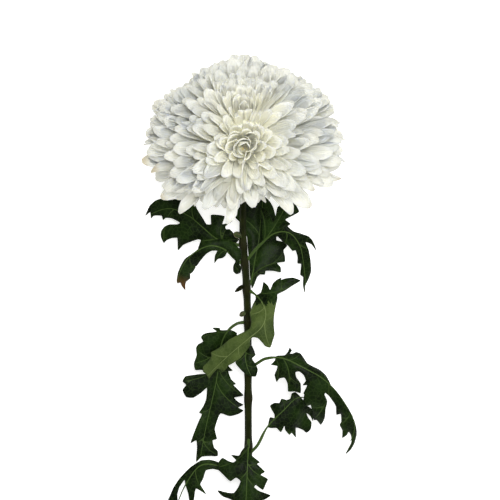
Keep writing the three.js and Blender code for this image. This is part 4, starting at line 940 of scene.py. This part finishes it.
# %% Leaf shapes
LEAVES = {
    "leaf_upper_left": {
        "rib": [[-1, -64, 22.6], [-10, -62, 22], [-19, -59, 20], [-30, -50, 17], [-38, -43.5, 15],
                [-52, -38, 12], [-69, -43, 8]],
        "start": 0.18, "left": -6, "right": 6, "curl": 0.1,
        "outline": [[-3.5, -59.5], [-7, -55.5], [-10, -52.5], [-12.5, -52.5], [-13, -50.5],
                    [-8, -47], [-15, -49], [-13.5, -43.5], [-18.5, -42.5], [-23, -42.5],
                    [-23, -49], [-26, -49], [-28.5, -45], [-32, -39.5], [-35.5, -33.5], [-45, -32],
                    [-54, -30.5], [-61, -32], [-65.5, -35.5], [-67.5, -39.5], [-69, -43],
                    [-65.5, -40.5], [-65, -45], [-63, -43], [-57.5, -43], [-56.5, -46],
                    [-54.5, -44.5], [-50, -45], [-44.5, -48], [-46.5, -49], [-52, -49],
                    [-55.5, -50.5], [-58, -54], [-58, -58], [-56, -62], [-54, -60], [-50, -58.5],
                    [-46.5, -58.5], [-46, -67], [-42.5, -63.5], [-38, -61.5], [-32, -59.5],
                    [-30, -60], [-32, -66.5], [-26, -65.5], [-19, -63], [-12.5, -62],
                    [-5.5, -62]]},
    "leaf_arched_left": {
        "rib": [[-0.4, -77, 22.2], [-6, -73, 25], [-12.5, -67, 29], [-23, -64, 32], [-36, -70, 28],
                [-44.5, -82, 17], [-47, -94, 7]],
        "start": 0.22, "left": -10, "right": -10, "curl": 0.15, "brown": 0.9,
        "outline": [[-8, -61], [-13, -59.5], [-19, -59.5], [-24, -61], [-28, -63.5], [-32, -66.5],
                    [-36, -69.5], [-41, -73], [-43.5, -77], [-46, -82.5], [-47, -88], [-46.5, -90],
                    [-44.5, -89.5], [-43.5, -92], [-41, -95], [-41, -91], [-40.5, -89],
                    [-37.5, -86.5], [-37.5, -83.5], [-35.5, -82], [-33.5, -78.5], [-35.5, -77],
                    [-33, -78], [-30, -74], [-26, -69.5], [-22.5, -67.5], [-18.5, -67.5],
                    [-20, -70.5], [-20.5, -76], [-18, -73], [-15, -72.5], [-13, -71], [-11, -67.5],
                    [-9, -71], [-6, -74.5], [-7.5, -78], [-7.5, -81.5], [-5.5, -83.5],
                    [-2.5, -82.5], [-2, -79], [-3.5, -76], [-2, -71.5], [-2.5, -67],
                    [-5.5, -63.5]]},
    "leaf_upper_right": {
        "rib": [[2, -96, 21.2], [5.5, -86, 14], [7.5, -74, 9], [10, -62, 7.5], [11.6, -46, 6.5],
                [13, -31, 5.5], [12, -16, 4.5]],
        "start": 0.14, "left": 0, "right": 2, "curl": 0.05,
        "outline": [[5.5, -93.5], [7, -91], [9, -86], [11, -84], [14.5, -84], [15, -81.5],
                    [20.5, -81.5], [25.5, -82.5], [25.5, -79], [23, -76], [28.5, -75],
                    [28.5, -71.5], [27.5, -67], [30, -64], [26.5, -61], [22.5, -60], [23, -49],
                    [20.5, -37.5], [18, -33], [12.5, -28], [7, -28.5], [2, -33], [-2.5, -36],
                    [-5.5, -40.5], [-6, -44.5], [-2.5, -48], [0, -53.5], [2, -58], [2.5, -65.5],
                    [3.5, -75], [4, -84.5]]},
    "leaf_dark_right": {
        "rib": [[0.6, -76, 22.2], [5, -70, 25], [12.5, -62, 29], [22, -55, 34], [31, -55, 36],
                [38, -63, 32], [41.5, -78, 22], [43, -95, 9]],
        "start": 0.22, "left": -8, "right": -20, "curl": 0.15,
        "outline": [[23, -57.5], [19, -60], [13.5, -61], [12.5, -56], [12.5, -50.5], [11, -43.5],
                    [11, -37.5], [15, -39], [18, -43.5], [20, -48], [22, -42.5], [23, -37.5],
                    [27.5, -34], [31.5, -30.5], [35.5, -35.5], [38, -40.5], [34, -43], [28.5, -46],
                    [32, -49], [30, -50.5], [34, -54], [39, -55.5], [44.5, -57.5], [47, -60],
                    [49, -64], [50, -67.5], [46.5, -63], [42.5, -61.5], [44.5, -66.5], [46, -74],
                    [46.5, -81.5], [45, -86.5], [42.5, -92], [42.5, -97], [41, -91.5], [41, -85.5],
                    [39, -84], [39.5, -76.5], [37, -76], [37, -71.5], [35.5, -67], [33.5, -67.5],
                    [30.5, -64], [27.5, -62]]},
    "leaf_folded_front": {
        "rib": [[2, -94, 21.3], [8, -98, 26], [13, -104, 31], [15, -112, 35], [12, -120, 37],
                [3, -128, 35], [-12, -141, 27], [-27, -156, 13]],
        "start": 0.06, "left": 4, "right": -4, "curl": 0.12, "fold_at": -104.0,
        "outline": [[8, -98.5], [11.5, -96.5], [12.5, -93.5], [13.5, -89], [16.5, -91.5],
                    [18, -94.5], [20, -90], [22.5, -87.5], [26, -86], [25.5, -87.5], [28.5, -86.5],
                    [34, -86], [39, -88], [33.5, -91.5], [28, -95], [23, -97.5], [23, -100.5],
                    [22, -105], [21, -110], [20.5, -114.5], [20.5, -119], [21, -125], [20, -128.5],
                    [18, -134], [14.5, -133], [12.5, -130.5], [9.5, -127.5], [6, -127], [4, -129],
                    [4, -133], [1.5, -136.5], [-2.5, -141.5], [-7.5, -145], [-11, -147],
                    [-12.5, -149.5], [-15, -151.5], [-15.5, -150.5], [-18, -149], [-22, -153],
                    [-24.5, -156.5], [-26.5, -153], [-28.5, -151.5], [-28.5, -148], [-25.5, -145],
                    [-22.5, -140.5], [-23, -138], [-18, -135], [-14.5, -132.5], [-10, -128.5],
                    [-3.5, -125], [4, -121], [5, -116], [4, -110.5], [6, -105], [8, -101]]},
    "leaf_hanging_left": {
        "rib": [[2, -117, 19.7], [-5, -118, 21], [-12, -124, 19], [-16.5, -135, 14.5],
                [-18, -150, 11], [-21, -166, 8.5], [-26.5, -190, 6], [-31, -214, 4]],
        "start": 0.15, "left": -2, "right": 2, "curl": 0.05,
        "outline": [[-5, -124.5], [-9, -122.5], [-12.5, -122.5], [-16.5, -122.5], [-17, -121],
                    [-22, -121], [-19, -123.5], [-26, -124.5], [-28.5, -125.5], [-30, -127.5],
                    [-28.5, -130.5], [-32, -132.5], [-33.5, -135], [-33, -140], [-35, -146],
                    [-34, -150.5], [-29.5, -150.5], [-26, -153], [-31.5, -153.5], [-41, -155],
                    [-43, -158.5], [-40.5, -161], [-43, -164.5], [-40.5, -169.5], [-35.5, -170],
                    [-30, -166.5], [-26, -163], [-26.5, -171], [-28.5, -176], [-31.5, -180.5],
                    [-29.5, -181.5], [-32, -187], [-34, -192], [-37.5, -202], [-33.5, -200],
                    [-33, -205], [-33.5, -215], [-29.5, -211.5], [-24, -211], [-18.5, -211],
                    [-18.5, -207.5], [-21, -205], [-22, -200], [-19, -199], [-20.5, -192],
                    [-18.5, -185], [-16.5, -181], [-10, -183], [-4, -181.5], [-0.5, -179],
                    [-4, -177], [-0.5, -175], [-4, -173], [-7, -170], [-0.5, -168.5], [-4, -164.5],
                    [-7.5, -161], [-5.5, -160.5], [-9, -157], [-11, -151.5], [-8, -151],
                    [-11, -147.5], [-9, -142], [-8, -135], [-5.5, -128.5]]},
    "leaf_small_front": {
        "rib": [[2.6, -134, 20.5], [1.5, -137, 24.4], [1, -142, 25.4], [2.5, -149, 25.3],
                [5, -154, 24.5]],
        "start": 0.25, "left": 0, "right": 0, "curl": 0.1,
        "outline": [[5, -132.5], [8, -139.5], [5.5, -142], [7.5, -145], [9.5, -149.5], [8, -154.5],
                    [2, -153.5], [-2.5, -149.5], [-6, -145], [-3.5, -139.5], [0, -134.5]]},
    "leaf_arching_right": {
        "rib": [[3, -150, 17.4], [9, -145.5, 22], [15, -142, 27], [26, -141.4, 33], [41, -148, 36],
                [56, -157, 33], [69, -172, 26], [77, -190, 14], [71, -208, 4.5]],
        "start": 0.19, "left": -40, "right": -6, "curl": 0.14,
        "outline": [[22.5, -140], [28, -139.5], [30, -137.5], [31.5, -134.5], [33, -136.5],
                    [31.5, -138.5], [33.5, -138.5], [36, -137.5], [39, -138.5], [41.5, -142],
                    [43.5, -145], [48, -147.5], [52, -149.5], [56, -153], [58.5, -157],
                    [60, -160.5], [65, -166], [70.5, -174], [75, -181.5], [78, -190],
                    [78.5, -195.5], [77, -202], [74.5, -206.5], [71, -209.5], [73, -205.5],
                    [75, -201], [74.5, -196], [73, -193.5], [71.5, -196], [68.5, -198],
                    [68.5, -192.5], [66.5, -188.5], [67.5, -186.5], [67, -180.5], [64, -181],
                    [63.5, -175], [61.5, -171.5], [58.5, -167.5], [56, -165.5], [55.5, -166.5],
                    [57.5, -171.5], [56.5, -177], [56, -183.5], [53.5, -188.5], [50.5, -185],
                    [48.5, -185], [47, -179], [46, -174], [43, -175], [41, -171], [41.5, -166.5],
                    [41, -165.5], [43.5, -160], [40.5, -160], [42.5, -157], [41, -153],
                    [38, -150.5], [35.5, -151], [36, -154.5], [39, -159], [39, -165.5],
                    [35, -164.5], [30.5, -164.5], [30, -159], [28, -155], [24.5, -155.5],
                    [22.5, -158], [21, -153], [22.5, -149.5], [23, -147], [18.5, -146],
                    [21, -143.5]]},
    "leaf_lower_right": {
        "rib": [[3, -209, 12.9], [9, -203, 17], [16, -190, 19], [28, -177.6, 20],
                [37, -169.5, 20.5], [45, -170.5, 18.5], [50.5, -178, 13], [53, -188, 7.5]],
        "start": 0.26, "left": -10, "right": -10, "curl": 0.1,
        "outline": [[16.5, -190], [17, -186], [18, -183], [21, -183.5], [21, -181], [19, -177.5],
                    [18, -175], [21, -173], [24.5, -173], [26, -170], [29.5, -171], [32, -170],
                    [33, -166.5], [35.5, -165.5], [38, -167.5], [41, -171], [43.5, -175],
                    [46.5, -177], [48, -181], [48, -186.5], [46, -182.5], [43.5, -180.5],
                    [44.5, -183.5], [47, -187], [46.5, -192], [43.5, -194.5], [41, -192.5],
                    [36, -190.5], [36, -197.5], [33, -194], [31.5, -195.5], [28.5, -192],
                    [28, -189], [25.5, -193.5], [22.5, -190.5], [19, -190.5]]},
    "leaf_lower_front": {
        "rib": [[3, -196, 13.9], [3, -203, 19], [2.5, -212, 23.5], [2, -226, 25], [1.2, -242, 24],
                [-1, -258, 21.5], [-5, -275, 17]],
        "start": 0.12, "left": -2, "right": -2, "curl": 0.06,
        "outline": [[2, -201.5], [0, -205], [-1.5, -207.5], [-4, -209.5], [-9, -209],
                    [-5.5, -212.5], [-7.5, -214], [-11, -213], [-15, -211], [-18, -214.5],
                    [-18.5, -218.5], [-14.5, -222.5], [-9.5, -227], [-5.5, -224.5], [-2.5, -227],
                    [-4, -231], [-7, -235], [-11, -235], [-18.5, -233.5], [-15, -237.5],
                    [-9.5, -239.5], [-5, -242], [-4, -247], [-11, -249.5], [-16.5, -254],
                    [-10, -258], [-4, -257.5], [-5, -263.5], [-9.5, -269], [-5.5, -272],
                    [-5, -276.5], [-0.5, -272], [4, -270], [7, -265], [5, -260], [8, -257.5],
                    [16.5, -255.5], [13.5, -250.5], [7, -246], [7.5, -241], [12.5, -240.5],
                    [18.5, -237], [10, -233.5], [7, -231], [8, -229.5], [13, -233], [15, -229],
                    [16.5, -225.5], [11.5, -222.5], [14.5, -220.5], [9, -215], [11, -214],
                    [5, -209], [4, -205]]},
    "leaf_lower_left": {
        "rib": [[3.2, -224, 11.8], [-5, -221, 14], [-14, -218, 16.5], [-29, -216, 18],
                [-40, -229, 14], [-48, -248, 8], [-54, -268, 4]],
        "start": 0.24, "left": -6, "right": -6, "curl": 0.08,
        "outline": [[-12.5, -218.5], [-18.5, -214], [-24, -212.5], [-30, -213], [-37.5, -218],
                    [-45, -226], [-49, -232], [-52, -239], [-55.5, -246], [-59.5, -250.5],
                    [-55.5, -252], [-57.5, -259.5], [-54, -268.5], [-50, -261.5], [-45, -259],
                    [-48, -253.5], [-46, -246], [-46.5, -237.5], [-45, -232], [-41.5, -227],
                    [-41, -230], [-39, -236.5], [-37.5, -246.5], [-35, -241], [-33.5, -233],
                    [-26.5, -237], [-30.5, -230], [-28.5, -226], [-26.5, -220], [-22, -219],
                    [-16.5, -220]]},
}
RIB_SAMPLES = 60
CURL_LENGTH = 20.0

# %% The margin and the lie of a blade
MARGIN_STEP = 0.9
ROUNDING = 0.6               # 0 keeps the margin's straight edges, 1 rounds them fully


def margin_line(outline):
    """The blade's margin as evenly spaced points: rounded edges between pointed teeth."""
    corners = np.array(outline)
    spots = []
    for number, start in enumerate(corners):
        before, end, after = (corners[(number + step) % len(corners)] for step in (-1, 1, 2))
        length = np.linalg.norm(end - start)
        count = max(2, round(length / MARGIN_STEP))
        share = np.linspace(0.0, 1.0, count, endpoint=False)[:, None]
        leave = (end - before) / 2 * min(1.0, length / np.linalg.norm(start - before))
        arrive = (after - start) / 2 * min(1.0, length / np.linalg.norm(after - end))
        rounded = cubic(start, end, leave, arrive, share)
        spots.append(mix(start + share * (end - start), rounded, ROUNDING))
    return np.vstack(spots)


def blade_height(leaf, line, spots):
    """The height that the rib nearby gives to places of the blade."""
    centre, _, _, right = line.frame(np.linspace(leaf["start"], 1.0, RIB_SAMPLES + 1))
    offset = spots[:, None, :] - centre[None, :, :2]
    off = (offset * right[None, :, :2]).sum(-1)
    fold = np.tan(np.radians(np.where(off < 0, leaf["left"], leaf["right"])))
    lie = centre[:, 2] + fold * np.abs(off) - leaf["curl"] * off ** 2 / CURL_LENGTH
    weight = ((offset ** 2).sum(-1) + 1.0) ** -2.5
    return (weight * lie).sum(1) / weight.sum(1)


def distance_to(spots, chain):
    """How far places are from a chain of points, and how far along the chain that is."""
    start, step = chain[:-1], np.diff(chain, axis=0)
    length = np.maximum(np.linalg.norm(step, axis=1), 1e-9)
    offset = spots[:, None, :] - start
    share = np.clip((offset * step).sum(-1) / length ** 2, 0.0, 1.0)
    far = np.linalg.norm(offset - share[..., None] * step, axis=-1)
    nearest = far.argmin(1)
    rows = np.arange(len(spots))
    before = np.concatenate([[0.0], np.cumsum(length)])
    return far[rows, nearest], before[nearest] + share[rows, nearest] * length[nearest]


# %% The veins
LOBE_RISE, TOOTH_RISE = 3.5, 0.9      # how far a lobe or a tooth stands out from the margin
SHORTEST_VEIN = 2.5
VEIN_STEP = 1.0
VEIN_END = 0.94
VEIN_BACK = 0.75             # how far down its parent a vein starts, by the tip's distance


def stands_out(reach, place, way, rise):
    """Whether a closed row of values sinks by a rise on one side before it gets higher."""
    for step in range(1, len(reach)):
        value = reach[(place + way * step) % len(reach)]
        if reach[place] - value >= rise:
            return True
        if value > reach[place] or (value == reach[place] and way < 0):
            return False
    return False


def vein_to(tip, parent):
    """A side vein that leaves its parent towards the tip of a lobe, and bends over to it."""
    far, along = distance_to(tip[None], parent)
    lengths = np.concatenate([[0.0], np.cumsum(np.linalg.norm(np.diff(parent, axis=0), axis=1))])
    number = np.searchsorted(lengths, along[0] - VEIN_BACK * far[0])
    number = int(np.clip(number, 0, len(parent) - 2))
    root = parent[number]
    way = unit(parent[number + 1] - root)
    length = np.linalg.norm(tip - root)
    bend = root + mix(way, (tip - root) / length, 0.5) * 0.5 * length
    share = np.linspace(0.0, VEIN_END, max(3, round(length / VEIN_STEP)))[:, None]
    return (1 - share) ** 2 * root + 2 * share * (1 - share) * bend + share ** 2 * tip


def side_veins(rib, margin):
    """Main veins from the rib to the lobes, and lesser ones from the nearest vein to the teeth."""
    reach, _ = distance_to(margin, rib)
    tips = {rise: [place for place in range(len(margin))
                   if all(stands_out(reach, place, way, rise) for way in (-1, 1))]
            for rise in (LOBE_RISE, TOOTH_RISE)}
    main = [vein_to(margin[place], rib) for place in tips[LOBE_RISE]]
    lesser = []
    for place in set(tips[TOOTH_RISE]) - set(tips[LOBE_RISE]):
        tip = margin[place]
        parent = min([rib, *main], key=lambda chain: distance_to(tip[None], chain)[0][0])
        if distance_to(tip[None], parent)[0][0] > SHORTEST_VEIN:
            lesser.append(vein_to(tip, parent))
    return main, lesser


# %% Cutting a blade into triangles
GRID_STEP = 1.4
ROW_STEP = GRID_STEP * 0.87      # rows of even-sided triangles
KEEP_OFF = 0.6                   # the grid's points stay this far from margin and veins
MERGE_WITHIN = 0.05
TINY = 1e-6


def inside(spots, margin):
    """Whether places lie inside: a ray from there crosses the margin an odd number of times."""
    x, y = spots[:, :1], spots[:, 1:]
    start, end = margin, np.roll(margin, -1, axis=0)
    rise = end[:, 1] - start[:, 1]
    rise = np.where(np.abs(rise) < 1e-9, 1e-9, rise)
    crossing = start[:, 0] + (y - start[:, 1]) * (end[:, 0] - start[:, 0]) / rise
    return (((start[:, 1] > y) != (end[:, 1] > y)) & (x < crossing)).sum(1) % 2 == 1


def cut_blade(margin, chains):
    """Points and triangles of the area inside the margin; no triangle crosses a chain."""
    low, high = margin.min(0), margin.max(0)
    grid = np.stack(np.meshgrid(np.arange(low[0], high[0], GRID_STEP),
                                np.arange(low[1], high[1], ROW_STEP)), -1)
    grid[1::2, :, 0] += GRID_STEP / 2
    grid = grid.reshape(-1, 2)
    closed = np.vstack([margin, margin[:1]])
    keep = inside(grid, margin)
    for chain in [closed, *chains]:
        keep &= distance_to(grid, chain)[0] > KEEP_OFF
    points = [*margin]
    edges = []
    for chain in chains:
        within = inside(chain, margin) & (distance_to(chain, closed)[0] > KEEP_OFF / 2)
        for number in np.flatnonzero(within):
            if number > 0 and within[number - 1]:
                edges.append((len(points) - 1, len(points)))
            points.append(chain[number])
    points += [*grid[keep]]
    spots, _, triangles, *_ = delaunay_2d_cdt(
        [Vector(point) for point in points], edges, [list(range(len(margin)))], 1, MERGE_WITHIN)
    spots = np.array([tuple(spot) for spot in spots])
    triangles = np.array(triangles)
    first, second, third = (spots[triangles[:, corner]] for corner in range(3))
    area = np.cross(second - first, third - first)
    triangles[area < 0] = triangles[area < 0][:, ::-1]
    return spots, triangles[np.abs(area) > TINY]


# %% One leaf
LEAF_HALF_THICKNESS = 0.24
PETIOLE_HALF = 1.05
TABLE_GAP = 0.05
RIB_END, RIB_POINTS = 0.97, 70
LESSER_BY = 0.12                     # how much narrower the lesser veins are
SWELL, SWELL_FROM_VEIN, SWELL_FROM_EDGE = 0.9, 2.6, 4.0
RIPPLE, RIPPLE_LENGTH, RIPPLE_REACH = 0.5, 4.3, 6.0
RIB_TROUGH, RIB_TROUGH_WIDTH = 0.35, 1.3
EDGE_REACH = 9.0
FOLD_WAVES = ((1.3, 1.1), (0.7, 2.7))      # heights and rates of the fold's uneven line
FAR_BELOW = -1e3
STALK_FROM, STALK_TO, STALK_STEP, STALK_SIDES = 0.012, 0.93, 1.6, 12
FOOT_SWELL, FOOT_LENGTH = 0.45, 3.0
TROUGH_DEPTH, TROUGH_WIDTH = 0.25, 0.5


def add_blade(body, leaf, line, phase):
    """The blade, with its distances to rib, veins and margin, and with its back below a fold."""
    margin = margin_line(in_plan(leaf["outline"]))
    rib = line.point(np.linspace(leaf["start"], RIB_END, RIB_POINTS))[:, :2]
    main, lesser = side_veins(rib, margin)
    spots, triangles = cut_blade(margin, [rib, *main, *lesser])
    off_rib, along_rib = distance_to(spots, rib)
    off_vein = np.min([distance_to(spots, chain)[0] for chain in main]
                      + [distance_to(spots, chain)[0] + LESSER_BY for chain in lesser], axis=0)
    off_edge, along_edge = distance_to(spots, np.vstack([margin, margin[:1]]))
    to_tip = along_rib / max(along_rib.max(), 1.0)

    within = smooth_step(off_edge, 0.0, SWELL_FROM_EDGE)
    swell = (1.0 - np.exp(-(np.minimum(off_vein, off_rib) / SWELL_FROM_VEIN) ** 2)) * within
    ripple = (np.sin(along_edge / RIPPLE_LENGTH + phase)
              * (1.0 - smooth_step(off_edge, 0.0, RIPPLE_REACH)))
    height = (blade_height(leaf, line, spots) + SWELL * swell + RIPPLE * ripple
              - RIB_TROUGH * np.exp(-(off_rib / RIB_TROUGH_WIDTH) ** 2))
    height = np.maximum(height, TABLE + LEAF_HALF_THICKNESS + TABLE_GAP)
    middle = np.column_stack([spots, height])
    corners = middle[triangles]
    normals = np.zeros_like(middle)
    facing = np.cross(corners[:, 1] - corners[:, 0], corners[:, 2] - corners[:, 0])
    for corner in range(3):
        np.add.at(normals, triangles[:, corner], facing)
    offset = LEAF_HALF_THICKNESS * unit(normals)

    below = len(spots)
    upper = triangles.tolist()
    lower = [[corner + below for corner in reversed(face)] for face in upper]
    sides = [(face[corner], face[(corner + 1) % 3]) for face in upper for corner in range(3)]
    pairs = set(sides)
    rim = [[end, start, start + below, end + below]
           for start, end in sides if (end, start) not in pairs]
    across, down = corners[:, :, 0].mean(1), corners[:, :, 1].mean(1)
    fold = in_plan([[0.0, leaf.get("fold_at", FAR_BELOW)]])[0, 1]
    turned = down < fold + sum(wave * np.sin(across * rate) for wave, rate in FOLD_WAVES)
    slots = turned.astype(int).tolist() + (1 - turned).astype(int).tolist()
    values = {
        "off_rib": off_rib * (1.0 + 1.4 * to_tip), "off_vein": off_vein,
        "edge": np.clip(1.0 - off_edge / EDGE_REACH, 0.0, 1.0),
        "brown": leaf.get("brown", 0.0) * smooth_step(to_tip, 0.8, 1.0)}
    body.add(np.concatenate([middle + offset, middle - offset]), upper + lower + rim,
             slots + [1] * len(rim), **{name: np.tile(value, 2) for name, value in values.items()})


def add_stalk(body, leaf, line):
    """The stalk, which runs on below the blade as its midrib."""
    place = np.linspace(STALK_FROM, STALK_TO, int(line.length / STALK_STEP))
    centre, _, up, right = line.frame(place)
    blade = smooth_step(place, leaf["start"] * 0.7, leaf["start"] * 1.15)
    centre[:, 2] = mix(centre[:, 2], blade_height(leaf, line, centre[:, :2]), blade)
    width = mix(PETIOLE_HALF, mix(0.75, 0.2, place), blade)[:, None]
    width = width + FOOT_SWELL * np.exp(-(place * line.length / FOOT_LENGTH) ** 2)[:, None]
    angle = full_turn(STALK_SIDES)
    drop = mix(0.35, 0.6, blade)[:, None]
    trough = (TROUGH_DEPTH * (1 - blade)[:, None]
              * np.exp(-((angle - math.pi / 2) / TROUGH_WIDTH) ** 2))
    rings = beside_line(centre, right, up, width * np.cos(angle),
                        width * 0.8 * np.sin(angle) - drop - trough)
    rings[..., 2] = np.maximum(rings[..., 2], TABLE + 0.02)
    add_rings(body, rings, off_rib=0.4, off_vein=9.0, edge=0.5, brown=0.0)


# %% All the leaves
for number, (name, leaf) in enumerate(LEAVES.items()):
    body = Body()
    line = Line(in_part(leaf["rib"]))
    add_blade(body, leaf, line, number)
    add_stalk(body, leaf, line)
    make_piece(name + "_blade", body, [leaf_top, leaf_under], name)

# %% [markdown]
# ## The side buds
# Two dormant buds sit in the axils of the upper leaves. Each is a small egg wrapped in pointed
# scales that overlap, on a short stalk.

# %% Buds
BUD_PROFILE = ([0, 0.3, 0.37, 0.45, 0.65, 0.85, 1], [0.42, 0.42, 0.6, 0.88, 1.0, 0.7, 0.12])
BUD_SCALES = 5
SCALE_OUTLINE = ([0, 0.4, 1], [0.9, 1.0, 0.15])
SCALE_HALF_THICKNESS = 0.12
SCALE_ROOT, SCALE_STAGGER, SCALE_END = 0.34, 0.05, 0.98      # shares of the bud's line
SCALE_SPREAD, SCALE_LIFT = 0.75, 0.16
BUDS = {
    "bud_upper": ([-0.8, -58, 23.4], [-7, -55.5, 29.5], 2.2),
    "bud_lower": ([2.2, -109, 20.6], [-3, -112.5, 25], 1.6),
}
for name, (root_point, tip_point, radius) in BUDS.items():
    body = Body()
    line = Line(in_part([root_point, tip_point]))
    place = np.linspace(0.0, 1.0, 22)
    centre, _, up, right = line.frame(place)
    angle = full_turn(20)
    width = (radius * np.interp(place, *BUD_PROFILE)[:, None]
             * (1 + 0.05 * np.cos(angle * BUD_SCALES)))
    rings = beside_line(centre, right, up, width * np.cos(angle), width * np.sin(angle))
    add_rings(body, rings, across=0.0)
    rows, columns = sheet_places(8, 5)
    for scale in range(BUD_SCALES):
        turned = scale * 2 * math.pi / BUD_SCALES
        start = SCALE_ROOT + SCALE_STAGGER * (scale % 2)
        along_bud = start + (SCALE_END - start) * rows
        spread = turned + columns * SCALE_SPREAD * np.interp(rows, *SCALE_OUTLINE)
        centre, _, up, right = line.frame(along_bud[:, 0])
        out = radius * np.interp(along_bud, *BUD_PROFILE) + SCALE_LIFT
        grid = beside_line(centre, right, up, -out * np.cos(spread), out * np.sin(spread))
        add_sheet(body, grid, SCALE_HALF_THICKNESS, across=columns)
    make_piece(name + "_scales", body, [bract_material], name)

# %% [markdown]
# ## Floor and light
# The photograph has a plain white ground, and its light comes from the camera's side: what faces
# the camera is bright, and what turns away from it darkens. So one lamp hangs close to the camera
# and a wider one beside it, a weak one lights the stem's side, and the sky gets darker towards the
# horizon. The pale floor shines a little of its own, so the shadows on it stay faint.

# %% Stage
FLOOR_HALF = 3.0
FLOOR_DROP = 0.0004
FLOOR_COLOUR = (0.8, 0.8, 0.8, 1.0)
FLOOR_GLOW = 0.6
floor_mesh = bpy.data.meshes.new("floor")
floor_mesh.from_pydata([(x * FLOOR_HALF, y * FLOOR_HALF, -FLOOR_DROP)
                        for x, y in ((-1, -1), (1, -1), (1, 1), (-1, 1))], [], [(0, 1, 2, 3)])
floor = bpy.data.objects.new("floor", floor_mesh)
bpy.context.scene.collection.objects.link(floor)
floor_material, tree, shader = new_material(
    "floor", 0.9, Specular_IOR_Level=0.1, Base_Color=FLOOR_COLOUR, Emission_Color=WHITE,
    Emission_Strength=FLOOR_GLOW)
floor_mesh.materials.append(floor_material)

HORIZON = (0.44, 0.435, 0.42, 1.0)
ZENITH = (1.0, 1.0, 0.99, 1.0)
SKY_STRENGTH = 0.55
world = bpy.data.worlds.new("studio")
world.use_nodes = True
tree = world.node_tree
direction = put(tree, "ShaderNodeTexCoord")
parts = put(tree, "ShaderNodeSeparateXYZ", {"Vector": direction.outputs["Generated"]})
sky = colour_mix(tree, remap(tree, parts.outputs["Z"], 0.0, 0.9), HORIZON, ZENITH)
tree.links.new(sky, tree.nodes["Background"].inputs["Color"])
tree.nodes["Background"].inputs["Strength"].default_value = SKY_STRENGTH
bpy.context.scene.world = world
bpy.context.scene.view_settings.view_transform = "Standard"


def soft_lamp(name, place, aim, size, power):
    data = bpy.data.lights.new(name, "AREA")
    data.size = size
    data.energy = power
    lamp = bpy.data.objects.new(name, data)
    lamp.location = place
    lamp.rotation_euler = (Vector(aim) - Vector(place)).to_track_quat("-Z", "Y").to_euler()
    bpy.context.scene.collection.objects.link(lamp)


soft_lamp("key", place=(0.6, 0.5, 1.45), aim=(0.0, 0.1, 0.05), size=1.2, power=6.0)
soft_lamp("front", place=(0.1, 0.3, 1.6), aim=(0.0, 0.14, 0.05), size=0.4, power=15.5)
soft_lamp("low", place=(0.2, -0.8, 1.2), aim=(0.0, 0.05, 0.03), size=0.7, power=3.0)
